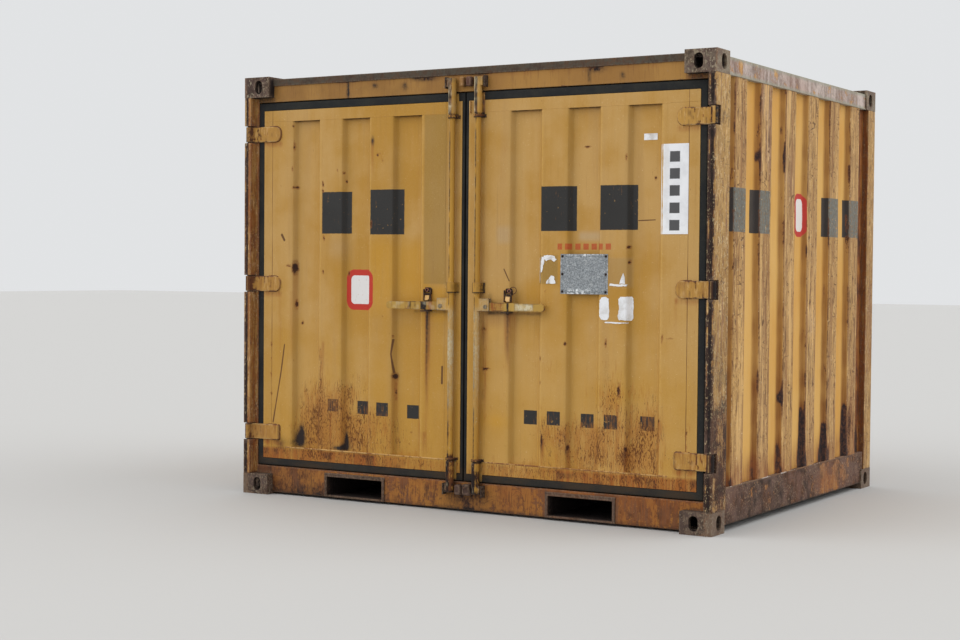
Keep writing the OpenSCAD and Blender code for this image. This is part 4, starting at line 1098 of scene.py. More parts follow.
def bead_path(name, pts, radius, body, material, out=(0, -1, 0), seed=5, flat=0.7, step=5.0):
    """A weld bead along a bent line on a flat face, in mm."""
    P = [np.array(p, float) for p in pts]
    line = [P[0]]
    for a, b in zip(P, P[1:]):
        n = max(1, int(np.linalg.norm(b - a) / step))
        line += [a + (b - a) * k / n for k in range(1, n + 1)]
    out = np.array(out, float)
    prof = [(-1, -0.4), (-1, 0.1), (-0.65, 0.75), (0, 1), (0.65, 0.75), (1, 0.1), (1, -0.4)]
    rng = np.random.default_rng(seed)
    verts, faces = [], []
    n = len(line)
    for i, c in enumerate(line):
        d = line[min(i + 1, n - 1)] - line[max(i - 1, 0)]
        d = d / np.linalg.norm(d)
        side = np.cross(d, out)
        r = radius * (1 + 0.25 * (rng.random() - 0.5)) * (0.25 if i in (0, n - 1) else 1)
        for a, b in prof:
            verts.append(c + side * a * r + out * b * r * flat)
    k = len(prof)
    for i in range(n - 1):
        for j in range(k):
            l = (j + 1) % k
            faces.append((i * k + j, (i + 1) * k + j, (i + 1) * k + l, i * k + l))
    faces.append(tuple(range(k)))
    faces.append(tuple((n - 1) * k + j for j in reversed(range(k))))
    me = mesh_of(name, np.array(verts) / 1000, faces)
    bm = bmesh.new()
    bm.from_mesh(me)
    bmesh.ops.recalc_face_normals(bm, faces=bm.faces)
    bm.to_mesh(me)
    bm.free()
    store(me, {"edge": np.full(len(verts), 0.3), "rust": np.full(len(verts), 0.55)})
    return piece(name, me, material, body, sharp=60)


def bead(name, p, q, radius, body, material, wobble=0.6, seed=5, flat=0.55, out=(0, -1, 0)):
    """A weld bead: a low rippled half round along a line, in mm."""
    p, q, out = np.array(p, float), np.array(q, float), np.array(out, float)
    d = (q - p) / np.linalg.norm(q - p)
    side = np.cross(d, out)
    L = np.linalg.norm(q - p)
    n = max(6, int(L / 6.0))
    prof = [(-1, -0.5), (-1, 0.0), (-0.7, 0.7), (0, 1), (0.7, 0.7), (1, 0.0), (1, -0.5)]
    verts, faces = [], []
    rng = np.random.default_rng(seed)
    for i in range(n + 1):
        r = radius * (1 + 0.22 * (rng.random() - 0.5) * wobble * 2) * (0.2 if i in (0, n) else 1)
        c = p + d * L * i / n + side * (rng.random() - 0.5) * wobble
        for a, b in prof:
            verts.append(c + side * a * r + out * b * r * flat)
    k = len(prof)
    for i in range(n):
        for j in range(k):
            l = (j + 1) % k
            faces.append((i * k + j, (i + 1) * k + j, (i + 1) * k + l, i * k + l))
    faces.append(tuple(range(k)))
    faces.append(tuple(n * k + j for j in reversed(range(k))))
    me = mesh_of(name, np.array(verts) / 1000, faces)
    bm = bmesh.new()
    bm.from_mesh(me)
    bmesh.ops.recalc_face_normals(bm, faces=bm.faces)
    bm.to_mesh(me)
    bm.free()
    store(me, {"edge": np.full(len(verts), 0.6)})
    return piece(name, me, material, body, sharp=60)


for side in ("left", "right"):
    door_panel(side)
    door_frame(side)
    gasket(side)
    s = 1 if side == "right" else -1
    bead(side + "_door_weld_low", (s * 127, DOOR_Y, 281), (s * 1226, DOOR_Y, 281), 3.6, side + "_door", "weld", seed=8 + s)
    bead(side + "_door_weld_high", (s * 127, DOOR_Y, 2180), (s * 1226, DOOR_Y, 2180), 1.6, side + "_door", "door", seed=18 + s)


# ---------------------------------------------------------------- walls
def wall(node, body="container"):
    t = 5.0
    end = node != "rear_wall"
    ribs = [k * 352.0 for k in ((-2.5, -1.5, -0.5, 0.5, 1.5, 2.5) if end else (-3.5, -2.5, -1.5, -0.5, 0.5, 1.5, 2.5, 3.5))]
    a, b = (-1045.0, 1097.0) if end else (-1373.5, 1373.5)
    z0, z1 = (225.0, 2320.0) if end else (165.0, 2320.0)
    line = [(a, -RIB_DEPTH)]
    for c in ribs:
        line += [(c - 98, -RIB_DEPTH), (c - 76, 0.0), (c + 76, 0.0), (c + 98, -RIB_DEPTH)]
    line += [(b, -RIB_DEPTH)]
    main = node == "right_wall"
    path, fold = fillet_path(line, 13.0, 3, 9.0 if main else 18.0)
    zs = np.concatenate([[z0], np.linspace(z0 + 6, z1 - 6, 172 if main else 84), [z1]])
    seed = {"right_wall": 50, "left_wall": 60, "rear_wall": 70}[node]

    def dent(U, Z):
        edge = ease(Z, z0, z0 + 60) * (1 - ease(Z, z1 - 60, z1)) * ease(U, a, a + 50) * (1 - ease(U, b - 50, b))
        d = (field(U, Z, 1 / 300.0, seed) - 0.6) * 4.6 + (field(U, Z, 1 / 110.0, seed + 1) - 0.6) * 2.2
        for u, z, r, h in ((162, 1158, 34, 3.0), (-532, 1250, 60, 2.0), (528, 700, 50, 2.0), (880, 1500, 60, 2.0), (-880, 600, 60, 2.0)):
            d = d - h * np.exp(-(((U - u) / r) ** 2 + ((Z - z) / (r * 1.6)) ** 2))
        return np.clip(-np.abs(d), -3.6, 0) * edge

    def place(u, w, z):
        if node == "right_wall":
            return np.stack([RIB_X + w, u, z], 1) / 1000
        if node == "left_wall":
            return np.stack([-RIB_X - w, u, z], 1) / 1000
        return np.stack([u, HY - 9.5 + w, z], 1) / 1000

    def attrs(U, W, Z, F):
        n1 = field(U, Z, 1 / 80.0, seed + 5)
        n2 = field(U, Z, 1 / 30.0, seed + 6)
        n3 = field(U, Z, 1 / 200.0, seed + 7)
        scrape = ease(W, -6.5, -1.2)
        slope = (W > -RIB_DEPTH + 1.5) & (W < -1.5)
        shade = np.zeros_like(U)
        rust = 0.10 * (1 - ease(Z, 225, 900)) + 0.04 + 0.10 * scrape * n1
        dark = np.zeros_like(U)
        stain = np.zeros_like(U)
        pink = 0.42 * ease(Z, 1200, 2200) + 0.12
        fold_dark = np.zeros_like(U)
        for i, c in enumerate(ribs):
            # painted shade: the slope on one side of each ridge and the recess floor next to it, stronger low down, and
            # a little on the far slope
            near = ease(U, c - 136, c - 92) * (1 - ease(U, c - 82, c - 74))
            shade += near * (0.86 + 0.30 * (n1 - 0.5)) * (0.80 + 0.25 * (1 - ease(Z, 300, 1300)))
            # dark fold lines: rust at the c - 73 fold, painted shade at the c + 75 fold
            fold_dark += blob(U, Z * 0, c - 73, 0, 5, 1, .9) + blob(U, Z * 0, c + 75, 0, 5, 1, .7)
            shade += (ease(U, c + 70, c + 80) * (1 - ease(U, c + 92, c + 104))) * 0.35
            # rusty drips down the folds
            for k in range(4):
                r = np.random.default_rng(seed * 31 + i * 7 + k)
                z = 300 + 1850 * r.random()
                length = 60 + 260 * r.random()
                off = (-86, 84, -92, -80)[k]
                rust += drip(U, Z, c + off, z, z - length, 9, 0.55 * r.random() + 0.25)
                dark += drip(U, Z, c + off, z, z - length * 0.7, 7, 0.5 * r.random())
            rust += 0.34 * blob(U, Z * 0, c - 77, 0, 8, 1) * (0.2 + n2 * n1 * 2) + 0.26 * blob(U, Z * 0, c + 76, 0, 6, 1) * (0.2 + n2 * n1 * 2)
            dark += 0.50 * blob(U, Z * 0, c - 78, 0, 6, 1) * ease(n3 * n1, 0.16, 0.36)
            share = (0.15, 1.0, 0.8, 0.30, 0.65, 0.10, 0.6, 0.4)[i]
            pink = pink + ((share - 1) * (0.42 * ease(Z, 1200, 2200) + 0.12)
                           + 0.25 * (field(U * 0 + i * 3.7, Z, 1 / 260.0, seed + 9) - 0.5)) * scrape * (np.abs(U - c) < 100)
        low = 1 - ease(Z, 235, 420)
        stain += low * 0.60 * (0.3 + n1)
        dark += 0.30 * low * ease(n1, 0.45, 0.85)
        rust += low * 0.16
        if node == "right_wall":
            for c, z, w, a_ in ((84, 225, 30, 1.25), (436, 225, 30, 1.15), (792, 225, 26, 1.2), (-272, 225, 22, .5), (-625, 225, 14, .3)):
                top = {84: 560, 436: 455, 792: 540, -272: 420, -625: 400}[c]
                up = np.clip((Z - 225) / (top - 225), 0, 1.2)
                wz = w * (1.15 - 0.80 * up)
                core = np.exp(-np.abs((U - c + 10 * (n1 - 0.5)) / wz) ** 2.6) * (1 - ease(up, 0.80, 1.12))
                dark += a_ * core * (0.72 + 0.6 * n2)
                stain += 0.30 * np.exp(-(((U - c) / (wz * 2.0)) ** 2)) * (1 - ease(up, 0.7, 1.1))
            dark += blob(U, Z, 458, 258, 40, 44, 1.0) + blob(U, Z, 118, 250, 22, 40, .7) + blob(U, Z, 838, 250, 22, 40, .5)
            rust += blob(U, Z, 842, 380, 44, 170, .60) + blob(U, Z, 130, 420, 36, 190, .40)
            dark += blob(U, Z, -262, 640, 16, 34, .9) + blob(U, Z, 162, 1158, 14, 22, .8) + blob(U, Z, -620, 1935, 14, 30, .7)
            dark += blob(U, Z, -255, 1945, 9, 60, .8) + blob(U, Z, -270, 2100, 10, 30, .5)
            rust += blob(U, Z, 880, 420, 60, 140, .35) + blob(U, Z, 528, 300, 60, 90, .30)
            stain += blob(U, Z, 880, 420, 60, 160, .45) + blob(U, Z, 0, 1600, 1, 1, 0)
            pink = pink + blob(U, Z, 176, 1060, 90, 130, .9) + blob(U, Z, -528, 2100, 90, 260, .45)
            # the last recess by the rear post is stained red-brown all the way
            stain += 1.05 * ease(U, 962, 982) * (0.80 + 0.35 * n1)
            dark += 0.42 * ease(U, 966, 990) * (0.6 + 0.7 * n1)
            stain += 0.22 * (1 - ease(U, -1010, -985))
        return {"fold": np.clip(fold_dark, 0, 1), "scrape": scrape, "shade": np.clip(shade, 0, 1), "rust": np.clip(rust, 0, 1.3), "dark": np.clip(dark, 0, 1.2),
                "stain": np.clip(stain, 0, 1.1), "pink": np.clip(pink, 0, 1)}

    me = sheet(node + "_skin", path, fold, zs, place, t, dent, attrs)
    return piece(node + "_skin", me, "wall", body, [node], sharp=38)


for node in ("right_wall", "left_wall", "rear_wall"):
    wall(node)


# ---------------------------------------------------------------- frame members and small steel, from their CAD shapes
def steel(node, material, slot, body="container", wear=None, **kw):
    me = refine(node, **kw)
    if wear is not None:
        co = coords(me) * 1000
        store(me, {k: np.clip(v, -0.5, 1.7) for k, v in wear(co[:, 0], co[:, 1], co[:, 2]).items()})
    return piece(node + "_steel", me, material, body, [node], weighted=True, sharp=50)


def post_wear(X, Y, Z):
    n = field(X + Y, Z, 1 / 120.0, 90)
    m = field(X * 3 + Y, Z, 1 / 45.0, 92)
    end = ease(np.abs(X), 1489, 1494.5)  # the end face is paler than the door face
    low = 1 - ease(Z, 250, 1250)
    inner = (1 - end) * (1 - ease(np.abs(X), 1466, 1474)) * (X < 0)
    keep = end * (0.95 - 0.35 * n - 0.75 * low * (0.4 + m)) - 0.35 * (1 - end) * (1 - inner) + inner * (0.55 - 0.5 * m * n)
    rust = 0.30 * (1 - end) * (1 - inner) * (0.5 + n) + 0.20 * low
    stain = inner * (0.4 + 0.5 * m) + 0.25 * end * low
    dark = 0.45 * (1 - end) * (1 - inner) * (0.4 + n) + 0.50 * end * low * (0.4 + m)
    tint = end * (0.45 * area(X * 0, Z, -1, 1, 560, 1100, 140) + 0.45 * area(X * 0, Z, -1, 1, 1960, 2160, 60)) * ease(m, 0.40, 0.80)
    ax = np.abs(X)
    face = (Y < -1210) * (1 - end)
    b = field(X * 0.4, Z * 0.5, 1 / 30.0, 126)
    pale = ease(ax, 1450, 1454) * (1 - ease(ax, 1461, 1466)) * ease(b, 0.34, 0.56) + ease(ax, 1480, 1485) * ease(m, 0.30, 0.56)
    groove = ease(ax, 1464, 1469) * (1 - ease(ax, 1478, 1483))
    keep = keep + face * (0.80 * pale * (1 - 0.6 * low) - 0.35 * groove)
    dark = dark * (1 - 0.8 * face * np.clip(pale, 0, 1)) + 0.45 * face * groove
    rust = rust * (1 - 0.7 * face * np.clip(pale, 0, 1))
    return {"keep": np.clip(keep, -0.4, 1.2), "rust": rust, "dark": dark, "stain": stain, "tint": tint}


for n in ("front_left_post", "front_right_post"):
    steel(n, "post", "post_paint", wear=post_wear, bevel=5.0, step=34, inset=12, segs=3,
          extra=[s * v for s in (-1, 1) for v in (1456, 1460, 1464, 1468, 1473, 1478, 1482)])
for n in ("rear_left_post", "rear_right_post"):
    steel(n, "post", "post_paint", wear=lambda X, Y, Z: {
        "keep": ease(np.abs(X), 1489, 1494.5) * (1.0 - 0.5 * field(X + Y, Z, 1 / 120.0, 91)) + 0.2 * field(X + Y, Z, 1 / 90.0, 93),
        "stain": 0.35 * ease(np.abs(X), 1489, 1494.5) * field(X + Y, Z, 1 / 160.0, 94) + 1.15 * (1 - ease(Y, 1098, 1103)) * (1 - ease(np.abs(X), 1491, 1494)),
        "dark": 0.30 * (1 - ease(Y, 1098, 1103)) * (1 - ease(np.abs(X), 1491, 1494))}, bevel=5.0, step=90, inset=12, segs=3)


def header_wear(X, Y, Z):
    n = field(X, Z * 2, 1 / 70.0, 95)
    rail = ease(Z, 2383, 2389)
    # rust grows towards the top rail: a darker band that is partly rust and partly painted shade under the rail
    rust = rail * 0.95 + 0.25 * (ease(Z, 2366, 2384)) * n * 1.4
    rust = rust + 0.3 * (1 - ease(Z, 2294, 2302)) * n
    for x, z, rx, rz, a in ((-786, 2345, 8, 60, .9), (-601, 2356, 18, 12, .8), (-397, 2344, 16, 22, .8), (-251, 2378, 60, 20, .8),
                            (756, 2335, 5, 34, .8), (951, 2335, 9, 16, .8), (799, 2376, 46, 24, .9), (-330, 2380, 30, 12, .7),
                            (90, 2376, 50, 14, .7), (-1290, 2360, 46, 26, .5), (-786, 2384, 90, 8, .6), (1280, 2300, 60, 10, .5)):
        rust = rust + blob(X, Z, x, z, rx, rz, a)
    # the stain's ramp to the top rail is also painted shade under the rail
    stain = 0.4 * ease(Z, 2350, 2384) * n + 0.3 * blob(X, Z, -786, 2330, 18, 60)
    corner = ease(np.abs(X), 1296, 1326) * (1 - ease(Z, 2320, 2326))
    stain = stain + 0.75 * corner * (0.5 + 0.7 * n)
    west = 1 - ease(X, -420, -60)
    stain = stain * (1 - 0.75 * west) + 0.10 * blob(X, Z, -620, 2372, 260, 26)
    dark = 0.25 * rail * n + 0.12 * west * (1 - rail) * (0.3 + n) + 0.25 * blob(X, Z, -1360, 2370, 60, 40) + 0.50 * corner * (0.4 + n)
    for x, z, rx, rz, a in ((-786, 2345, 8, 70, 1.5), (-601, 2356, 16, 10, 1.1), (-397, 2342, 15, 18, .9), (-251, 2376, 60, 12, .9),
                            (756, 2335, 7, 34, 1.0), (951, 2333, 11, 14, 1.2), (799, 2374, 46, 16, .9), (-330, 2380, 30, 8, .7),
                            (90, 2380, 50, 8, .7)):
        dark = dark + blob(X, Z, x, z, rx, rz, a)
    return {"rust": rust, "stain": stain * (1 - rail), "dark": dark, "tint": rail * (0.30 + 1.0 * field(X, Z * 3, 1 / 26.0, 125)), "keep": -0.5 * rail}


def sill_wear(X, Y, Z):
    n = field(X, Z * 1.5, 1 / 90.0, 96)
    n2 = field(X, Z, 1 / 40.0, 97)
    rust = 0.15 + 0.35 * n * ease(np.abs(X), 950, 1300) + 0.2 * n2
    dark = blob(X, Z, 20, 60, 190, 70, .40) + blob(X, Z, 30, 110, 130, 60, .50) * (0.5 + 0.6 * n)
    dark = dark + 0.5 * (1 - ease(Z, 12, 34)) + blob(X, Z, -1000, 40, 260, 30, .5)
    dark = dark + 0.32 * (1 - ease(X, -1250, -850)) * (0.5 + n) + 0.30 * ease(n2 * n, 0.35, 0.60)
    stain = 0.35 * n + 0.25 * ease(Z, 90, 165) + 0.25 * ease(X, 300, 900)
    return {"rust": rust, "dark": dark, "stain": stain}


steel("door_header", "header", "frame_paint", wear=header_wear, bevel=2.0, step=11, inset=6, axes=(0, 2))
steel("door_sill", "sill", "frame_paint", wear=sill_wear, bevel=2.5, step=30, inset=8, axes=(0, 2))
steel("rear_top_rail", "header", "frame_paint", wear=lambda X, Y, Z: {"rust": 0.25 + 0.4 * field(X, Z, 1 / 90.0, 98)}, bevel=2.5, step=60, axes=(0, 2))
steel("rear_bottom_rail", "sill", "frame_paint", wear=lambda X, Y, Z: {"rust": 0.2 + 0.3 * field(X, Z, 1 / 90.0, 99)}, bevel=2.5, step=60, axes=(0, 2))
for n in ("left_top_rail", "right_top_rail"):
    steel(n, "endtop", "frame_paint", wear=lambda X, Y, Z: {"keep": 0.5 * ease(field(Y, Z, 1 / 30.0, 101), 0.6, 0.9),
                                                               "dark": 0.45 * ease(field(Y, Z, 1 / 22.0, 102), 0.7, 0.95) + 0.5 * (1 - ease(np.abs(Z - 2331), 1, 5)),
                                                               "tint": 0.9 * (1 - ease(Z, 2326, 2329)) + 1.0 * ease(Z, 2398, 2411),
                                                               "stain": 0.30 * ease(field(Y, Z, 1 / 60.0, 112), 0.45, 0.8) * (1 - ease(Y, -300, 500))},
          bevel=2.0, step=30, inset=5, axes=(1, 2))


def endbot_wear(X, Y, Z):
    n = field(Y, Z, 1 / 90.0, 103)
    m = field(Y, Z, 1 / 28.0, 104)
    k = field(Y, Z, 1 / 55.0, 106)
    keep = (blob(Y, Z, 480, 110, 250, 120, .85) + blob(Y, Z, 820, 160, 130, 80, .6)) * (0.2 + 0.9 * m) + 0.45 * n * k - 0.30 * m
    rust = 0.15 + 0.35 * m - keep * 0.3
    dark = 0.8 * (1 - ease(Z, 36, 48)) + 0.35 * n * ease(Y, -1100, -700) * (1 - ease(Y, 0, 400)) + 0.45 * ease(k * m, 0.30, 0.55)
    return {"keep": keep, "rust": rust, "dark": dark, "stain": blob(Y, Z, 480, 110, 210, 80, .6)}


for n in ("left_bottom_rail", "right_bottom_rail"):
    steel(n, "endbot", "frame_paint", wear=endbot_wear, bevel=2.5, step=22, inset=8, axes=(1, 2))
# white bead at the foot of each end wall: sealant, whose paleness is also a painted highlight along the bottom rail's
# top edge
for s in (1, -1):
    bead("end_sealant_%d" % (s + 1), (s * 1485.6, -1036, 225.5), (s * 1485.6, 760, 225.5), 3.0, "container", "sealant_and_highlight",
         seed=71 + s, out=(s, 0, 0))


def fitting_wear(X, Y, Z):
    n = field(X + Y, Z, 1 / 50.0, 105)
    end = ease(np.abs(X), 1492, 1495)
    depth = np.minimum.reduce([1495.5 - np.abs(X), 1219.0 - np.abs(Y), np.minimum(Z, H - Z)])
    high = (Z > 1200) * (X > 0)
    pale = high * (0.28 + 0.50 * end) * ease(field(X * 2 + Y, Z * 2, 1 / 24.0, 128), 0.36, 0.60) * (1 - ease(depth, 6, 14))
    # the dark that grows with depth inside the openings is painted shade
    return {"rust": 0.35 * (1 - end) + 0.1 * n, "keep": 0.75 * end + 0.15 * n, "tint": pale,
            "dark": 0.22 * n + 1.5 * ease(depth, 6, 20) + 0.30 * (Z < 1200)}


steel("corner_fittings_top", "fitting", "fitting_steel", wear=fitting_wear, bevel=4.5, step=60, inset=22, segs=3)
steel("corner_fittings_bottom", "fitting", "fitting_steel", wear=fitting_wear, bevel=4.5, step=400, inset=0, segs=3)
steel("roof_panel", "roof", "roof_paint", wear=lambda X, Y, Z: {"rust": 0.5 * field(X, Y, 1 / 160.0, 107) + 0.35 * (1 - ease(Z, 2404, 2412)),
                                                            "dark": 0.35 * (1 - ease(Z, 2403, 2409)) * field(X, Y, 1 / 90.0, 108)},
      bevel=1.5, step=90, inset=0, axes=(0, 1))
steel("cross_members", "under", "frame_paint", bevel=1.5, step=4000, inset=0, segs=1)


def pocket_wear(X, Y, Z):
    n = field(X, Z, 1 / 40.0, 109)
    rim = 1 - ease(Y, -1178, -1150)
    # rust gathers at the mouth; the dark ramp further into each pocket is painted shade inside it
    return {"rust": 0.35 * rim + 0.3 * n, "dark": 1.6 * ease(Y, -1188, -1150) * np.ones_like(X)}


steel("fork_pockets", "rim", "frame_paint", wear=pocket_wear, bevel=2.5, step=60, inset=5, segs=3, axes=(0, 1))
steel("hinge_pins", "bare", "bare_steel", bevel=1.0, step=4000, inset=0)


def castings(node, material, blocks, cheeks, round_r):
    """Keepers: knuckles with well rounded corners, and thin cheeks beside them."""
    y = FACE_Y
    bm = bmesh.new()
    for x0, x1, z0, z1, deep in blocks:
        boxy(bm, (x0, y - deep, z0), (x1, y + 0.8, z1))
    rounded(bm, round_r, 5)
    for x0, x1, z0, z1, deep in cheeks:
        boxy(bm, (x0, y - deep, z0), (x1, y + 0.8, z1))
    rounded(bm, 1.6, 2, 35.0)
    cut_up(bm, 0, list(np.arange(-120, 150, 7.0)))
    cut_up(bm, 2, list(np.arange(90, 160, 7.0)) + list(np.arange(2310, 2376, 7.0)))
    me = bm_mesh(bm, node + "_cast")
    co = coords(me) * 1000
    X, Y, Z = co[:, 0], co[:, 1], co[:, 2]
    n = field(X * 2, Z * 2, 1 / 40.0, 123)
    yellow = (1 - ease(X, 2, 8)) * ease(X, -26, -22) * (Z > 1000)
    store(me, {"keep": np.clip(1.2 * yellow, 0, 1.3), "rust": 0.35 * (1 - yellow) * n,
               "dark": np.clip(0.75 * (np.abs(X - 14) > 60) + 0.8 * ease(Y, y - 12, y - 4) + 0.35 * n * (1 - yellow), 0, 1.3)})
    return piece(node + "_cast", me, material, "container", [node], weighted=True, sharp=60)


castings("top_keepers", "keeper", ((-20, 5, 2319, 2371, 37), (21, 52, 2319, 2371, 37)),
         ((3, 23, 2322, 2368, 9), (-113, -105, 2312, 2374, 38), (134, 142, 2312, 2374, 38)), 7.5)
castings("bottom_keepers", "bare", ((-36, 4, 95, 152, 37.5), (13, 65, 95, 157, 37.5)),
         ((1, 16, 101, 146, 12), (-113, -105, 92, 155, 38), (134, 142, 92, 155, 38)), 11.0)


def pocket_lips():
    """The folded lip above each mouth of the fork pockets."""
    rear = min(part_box("rear_bottom_rail")[1][1] * 1000, 1212.0)
    for i, c in enumerate((-726.0, 726.0)):
        for word, y0, y1 in (("front", FACE_Y - 6.5, FACE_Y + 0.8), ("rear", rear - 0.8, rear + 6.0)):
            bm = bmesh.new()
            boxy(bm, (c - 210.0, y0, 137.5), (c + 210.0, y1, 152.0))
            rounded(bm, 3.0, 3)
            cut_up(bm, 0, list(np.arange(c - 204, c + 206, 12.0)))
            name = "pocket_lip_%s_%d" % (word, i)
            me = bm_mesh(bm, name)
            co = coords(me) * 1000
            n = field(co[:, 0], co[:, 2] * 4, 1 / 36.0, 124)
            store(me, {"rust": 0.5 * n, "dark": np.clip(0.9 * (1 - ease(co[:, 2], 138, 143)) + 0.3 * n, 0, 1.2)})
            piece(name, me, "rim", "container", weighted=True)


pocket_lips()

for side in ("left", "right"):
    door = side + "_door"

    def blade_wear(X, Y, Z):
        near = np.minimum.reduce([np.abs(np.abs(Z - h) - 44) for h in HINGE_Z])
        ax = np.abs(X)
        n = field(X, Z, 1 / 25.0, 111)
        up = field(X * 2.4, Z * 0.5, 1 / 13.0, 127)
        under = np.minimum.reduce([np.where(np.abs(Z - h) < 60, np.abs(Z - h + 44), 999.0) for h in HINGE_Z])
        band = 1 - ease(near, 1.0, 7.0)
        knuckle = ease(ax, 1445, 1452)
        side_ = ease(ax, 1484, 1490)
        high = (Z > 1800) * (side == "right")
        core = ease(ax, 1458, 1463) * (1 - ease(ax, 1470, 1476))
        streak = ease(up, 0.66, 0.80) * ease(ax, 1300, 1345) * (1 - knuckle)
        plain = knuckle * (1 - high) * (1 if side == "right" else 0.65)
        rust = 0.55 * band * ease(n, 0.36, 0.62) + 0.70 * streak + 0.95 * plain + 0.9 * high * core * knuckle + 0.06
        # the first term is painted shade along each blade's lower edge
        dark = 0.35 * (1 - ease(under, 1, 6)) + 0.40 * streak * ease(n, 0.40, 0.60) + 0.55 * plain + 0.5 * high * core * knuckle
        # painted shade: the blade's outer end by the post darkened to stand for the shaded hinge slot
        dark = dark + 1.0 * side_ + 0.4 * (Z < 420) * (1 - ease(ax, 1268, 1280))
        tint = (1 - ease(near, 1.0, 8.0)) * (1 - ease(n, 0.34, 0.52)) * 0.7 * (1 - plain)
        tint = tint + 0.35 * plain * ease(ax, 1468, 1472) * (1 - ease(ax, 1475, 1479))
        return {"rust": rust, "dark": dark, "tint": tint * (1 - side_), "keep": 0.25 * (1 - plain),
                "stain": 0.40 * (Z < 420) * field(X, Z, 1 / 30.0, 117) + 0.25 * (Z < 1300) * (1 - plain) * n}

    def round_ends(bm):
        """The free end of a blade is a half circle; the lowest blades are squarer."""
        for height, radius in ((HINGE_Z[2], 38.0), (HINGE_Z[1], 38.0), (HINGE_Z[0], 14.0)):
            pick = []
            for e in bm.edges:
                p, q = e.verts[0].co * 1000, e.verts[1].co * 1000
                if (abs(p.y - q.y) > 5 and abs(p.x - q.x) < 1 and abs(p.z - q.z) < 1 and abs(abs(p.x) - 1264) < 2
                        and abs(abs(p.z - height) - 44) < 3):
                    pick.append(e)
            bmesh.ops.bevel(bm, geom=pick, offset=radius / 1000, offset_type="OFFSET", segments=9, profile=0.5,
                            affect="EDGES", clamp_overlap=True)

    steel(side + "_door_hinges", "gear", "gear_paint", body=door, wear=blade_wear, bevel=1.6, step=8, inset=4, axes=(0, 2), pre=round_ends)
    sg = 1 if side == "right" else -1
    for i, hz in enumerate(HINGE_Z):
        r = 38.0 if i else 14.0
        pts = [(1352, hz + 44)]
        for k in range(0, 19):
            t = math.pi / 2 + math.pi * k / 18
            zc = (44 - r) if math.sin(t) > 0 else -(44 - r)
            pts.append((1264 + r + r * math.cos(t), hz + zc + r * math.sin(t)))
        pts.append((1352, hz - 44))
        bead_path(side + "_hinge_weld_%d" % i, [(sg * a, DOOR_Y, b) for a, b in pts], 4.2, door, "gear", seed=40 + i + sg)
    rx = ROD_R if side == "right" else ROD_L
    cx = 282.0 if side == "right" else -234.0

    def guide_wear(X, Y, Z):
        low = np.zeros_like(Z)
        for z0, z1 in ((2148, 2166), (1200, 1257), (283, 297)):
            inside = (Z > z0 - 3) & (Z < z1 + 3)
            low += inside * (1 - ease(Z, z0 + 1, z0 + 7)) * 1.4
        left = (1 - ease(X - rx, -17, -11)) * (Z > 1190) * (Z < 1270)
        base = ease(X - rx, 22, 26) * (0.85 if side == "right" else 0.35)
        rusty = (Z < 320) | (Z > 2100)
        blot = field(X * 1.5, Z * 1.2, 1 / 12.0, 129)
        spot = 0.35 * ease(blot, 0.30, 0.80) * ease(np.abs(X - rx), 7, 14) * (Z > 1190) * (Z < 1270)
        return {"dark": np.clip(low + left * 1.1 + base + 0.5 * spot, 0, 1.5), "keep": (0.3 - 0.3 * rusty) * (1 - spot),
                "rust": 0.9 * rusty + 0.6 * base + 1.1 * spot}

    steel(side + "_rod_guides", "guide", "gear_paint", body=door, wear=guide_wear, bevel=1.0, step=5, inset=2)

    def catch_wear(X, Y, Z):
        ex = cx + (5 if side == "right" else -5)
        r = np.hypot(X - ex, Z - 1213.5)
        eye = (Y < -1172.6) & (r < 12.5) & (Z > 1200)
        top = ease(Z, 1186, 1200) * ease(X - cx, -24, -14)
        ear = ease(np.abs(X - cx), 18.6, 19.4) * (Y < -1172.5) * (0.35 + 0.65 * (X > cx))
        low = 1 - ease(Z, 1094, 1112)
        body_ = (1 - eye) * np.clip(top + ear + low, 0, 1)
        return {"rust": 0.9 * body_, "dark": 0.75 * body_ + 1.5 * eye * (r < 6.6) , "tint": 1.0 * eye * (r > 6.6),
                "keep": 0.9 * (1 - np.clip(top + ear + low, 0, 1))}

    steel(side + "_handle_catch", "catch", "gear_paint", body=door, wear=catch_wear, bevel=0.7, step=6, inset=2, axes=(0, 2))

    def flap_wear(X, Y, Z):
        knuckle = ease(Z, 1181, 1185)
        side_ = ease(np.abs(X - cx), 12.4, 14.2)
        return {"rust": 1.0 * knuckle, "dark": 0.9 * knuckle + 0.55 * side_ * (1 - knuckle) + 0.8 * (1 - ease(Z, 1155, 1157.5)),
                "keep": 0.9 * (1 - knuckle)}

    steel(side + "_catch_flap", "flap", "gear_paint", body=side + "_catch", wear=flap_wear, bevel=0.6, step=3, inset=1, axes=(0, 2))

    def rod_wear(X, Y, Z):
        n = field(X * 0 + 3 + rx, Z, 1 / 60.0, 113)
        m = field(X * 0 + 9 + rx, Z, 1 / 22.0, 114)
        dx = X - rx
        front = 1 - ease(Y, ROD_Y - 12, ROD_Y - 7)
        hub = (np.abs(dx) > 23.5) & (Z > 1095) & (Z < 1180)
        streak = ease(dx, -10, -7) * (1 - ease(dx, -1.0, 2.0)) * front * ease(n * 0.7 + m * 0.5, 0.34, 0.66)
        out = 1 if side == "right" else -1
        bolt = np.hypot(dx - out * 62, Z - 1127)
        dark = 0.70 * streak + 0.40 * (1 - ease(Z, 100, 180)) * (0.4 + m) + 0.3 * ease(Z, 2330, 2360)
        dark = dark + hub * (1.5 * (1 - ease(bolt, 9.5, 12.5)) + 1.0 * (1 - ease(Z, 1103, 1109)) + 0.6 * ease(Z, 1167, 1171))
        dark = dark + hub * 0.8 * ease(dx * out, 80, 84)
        rust = 0.18 * n +  0.15 * (1 - ease(Z, 1080, 1150))
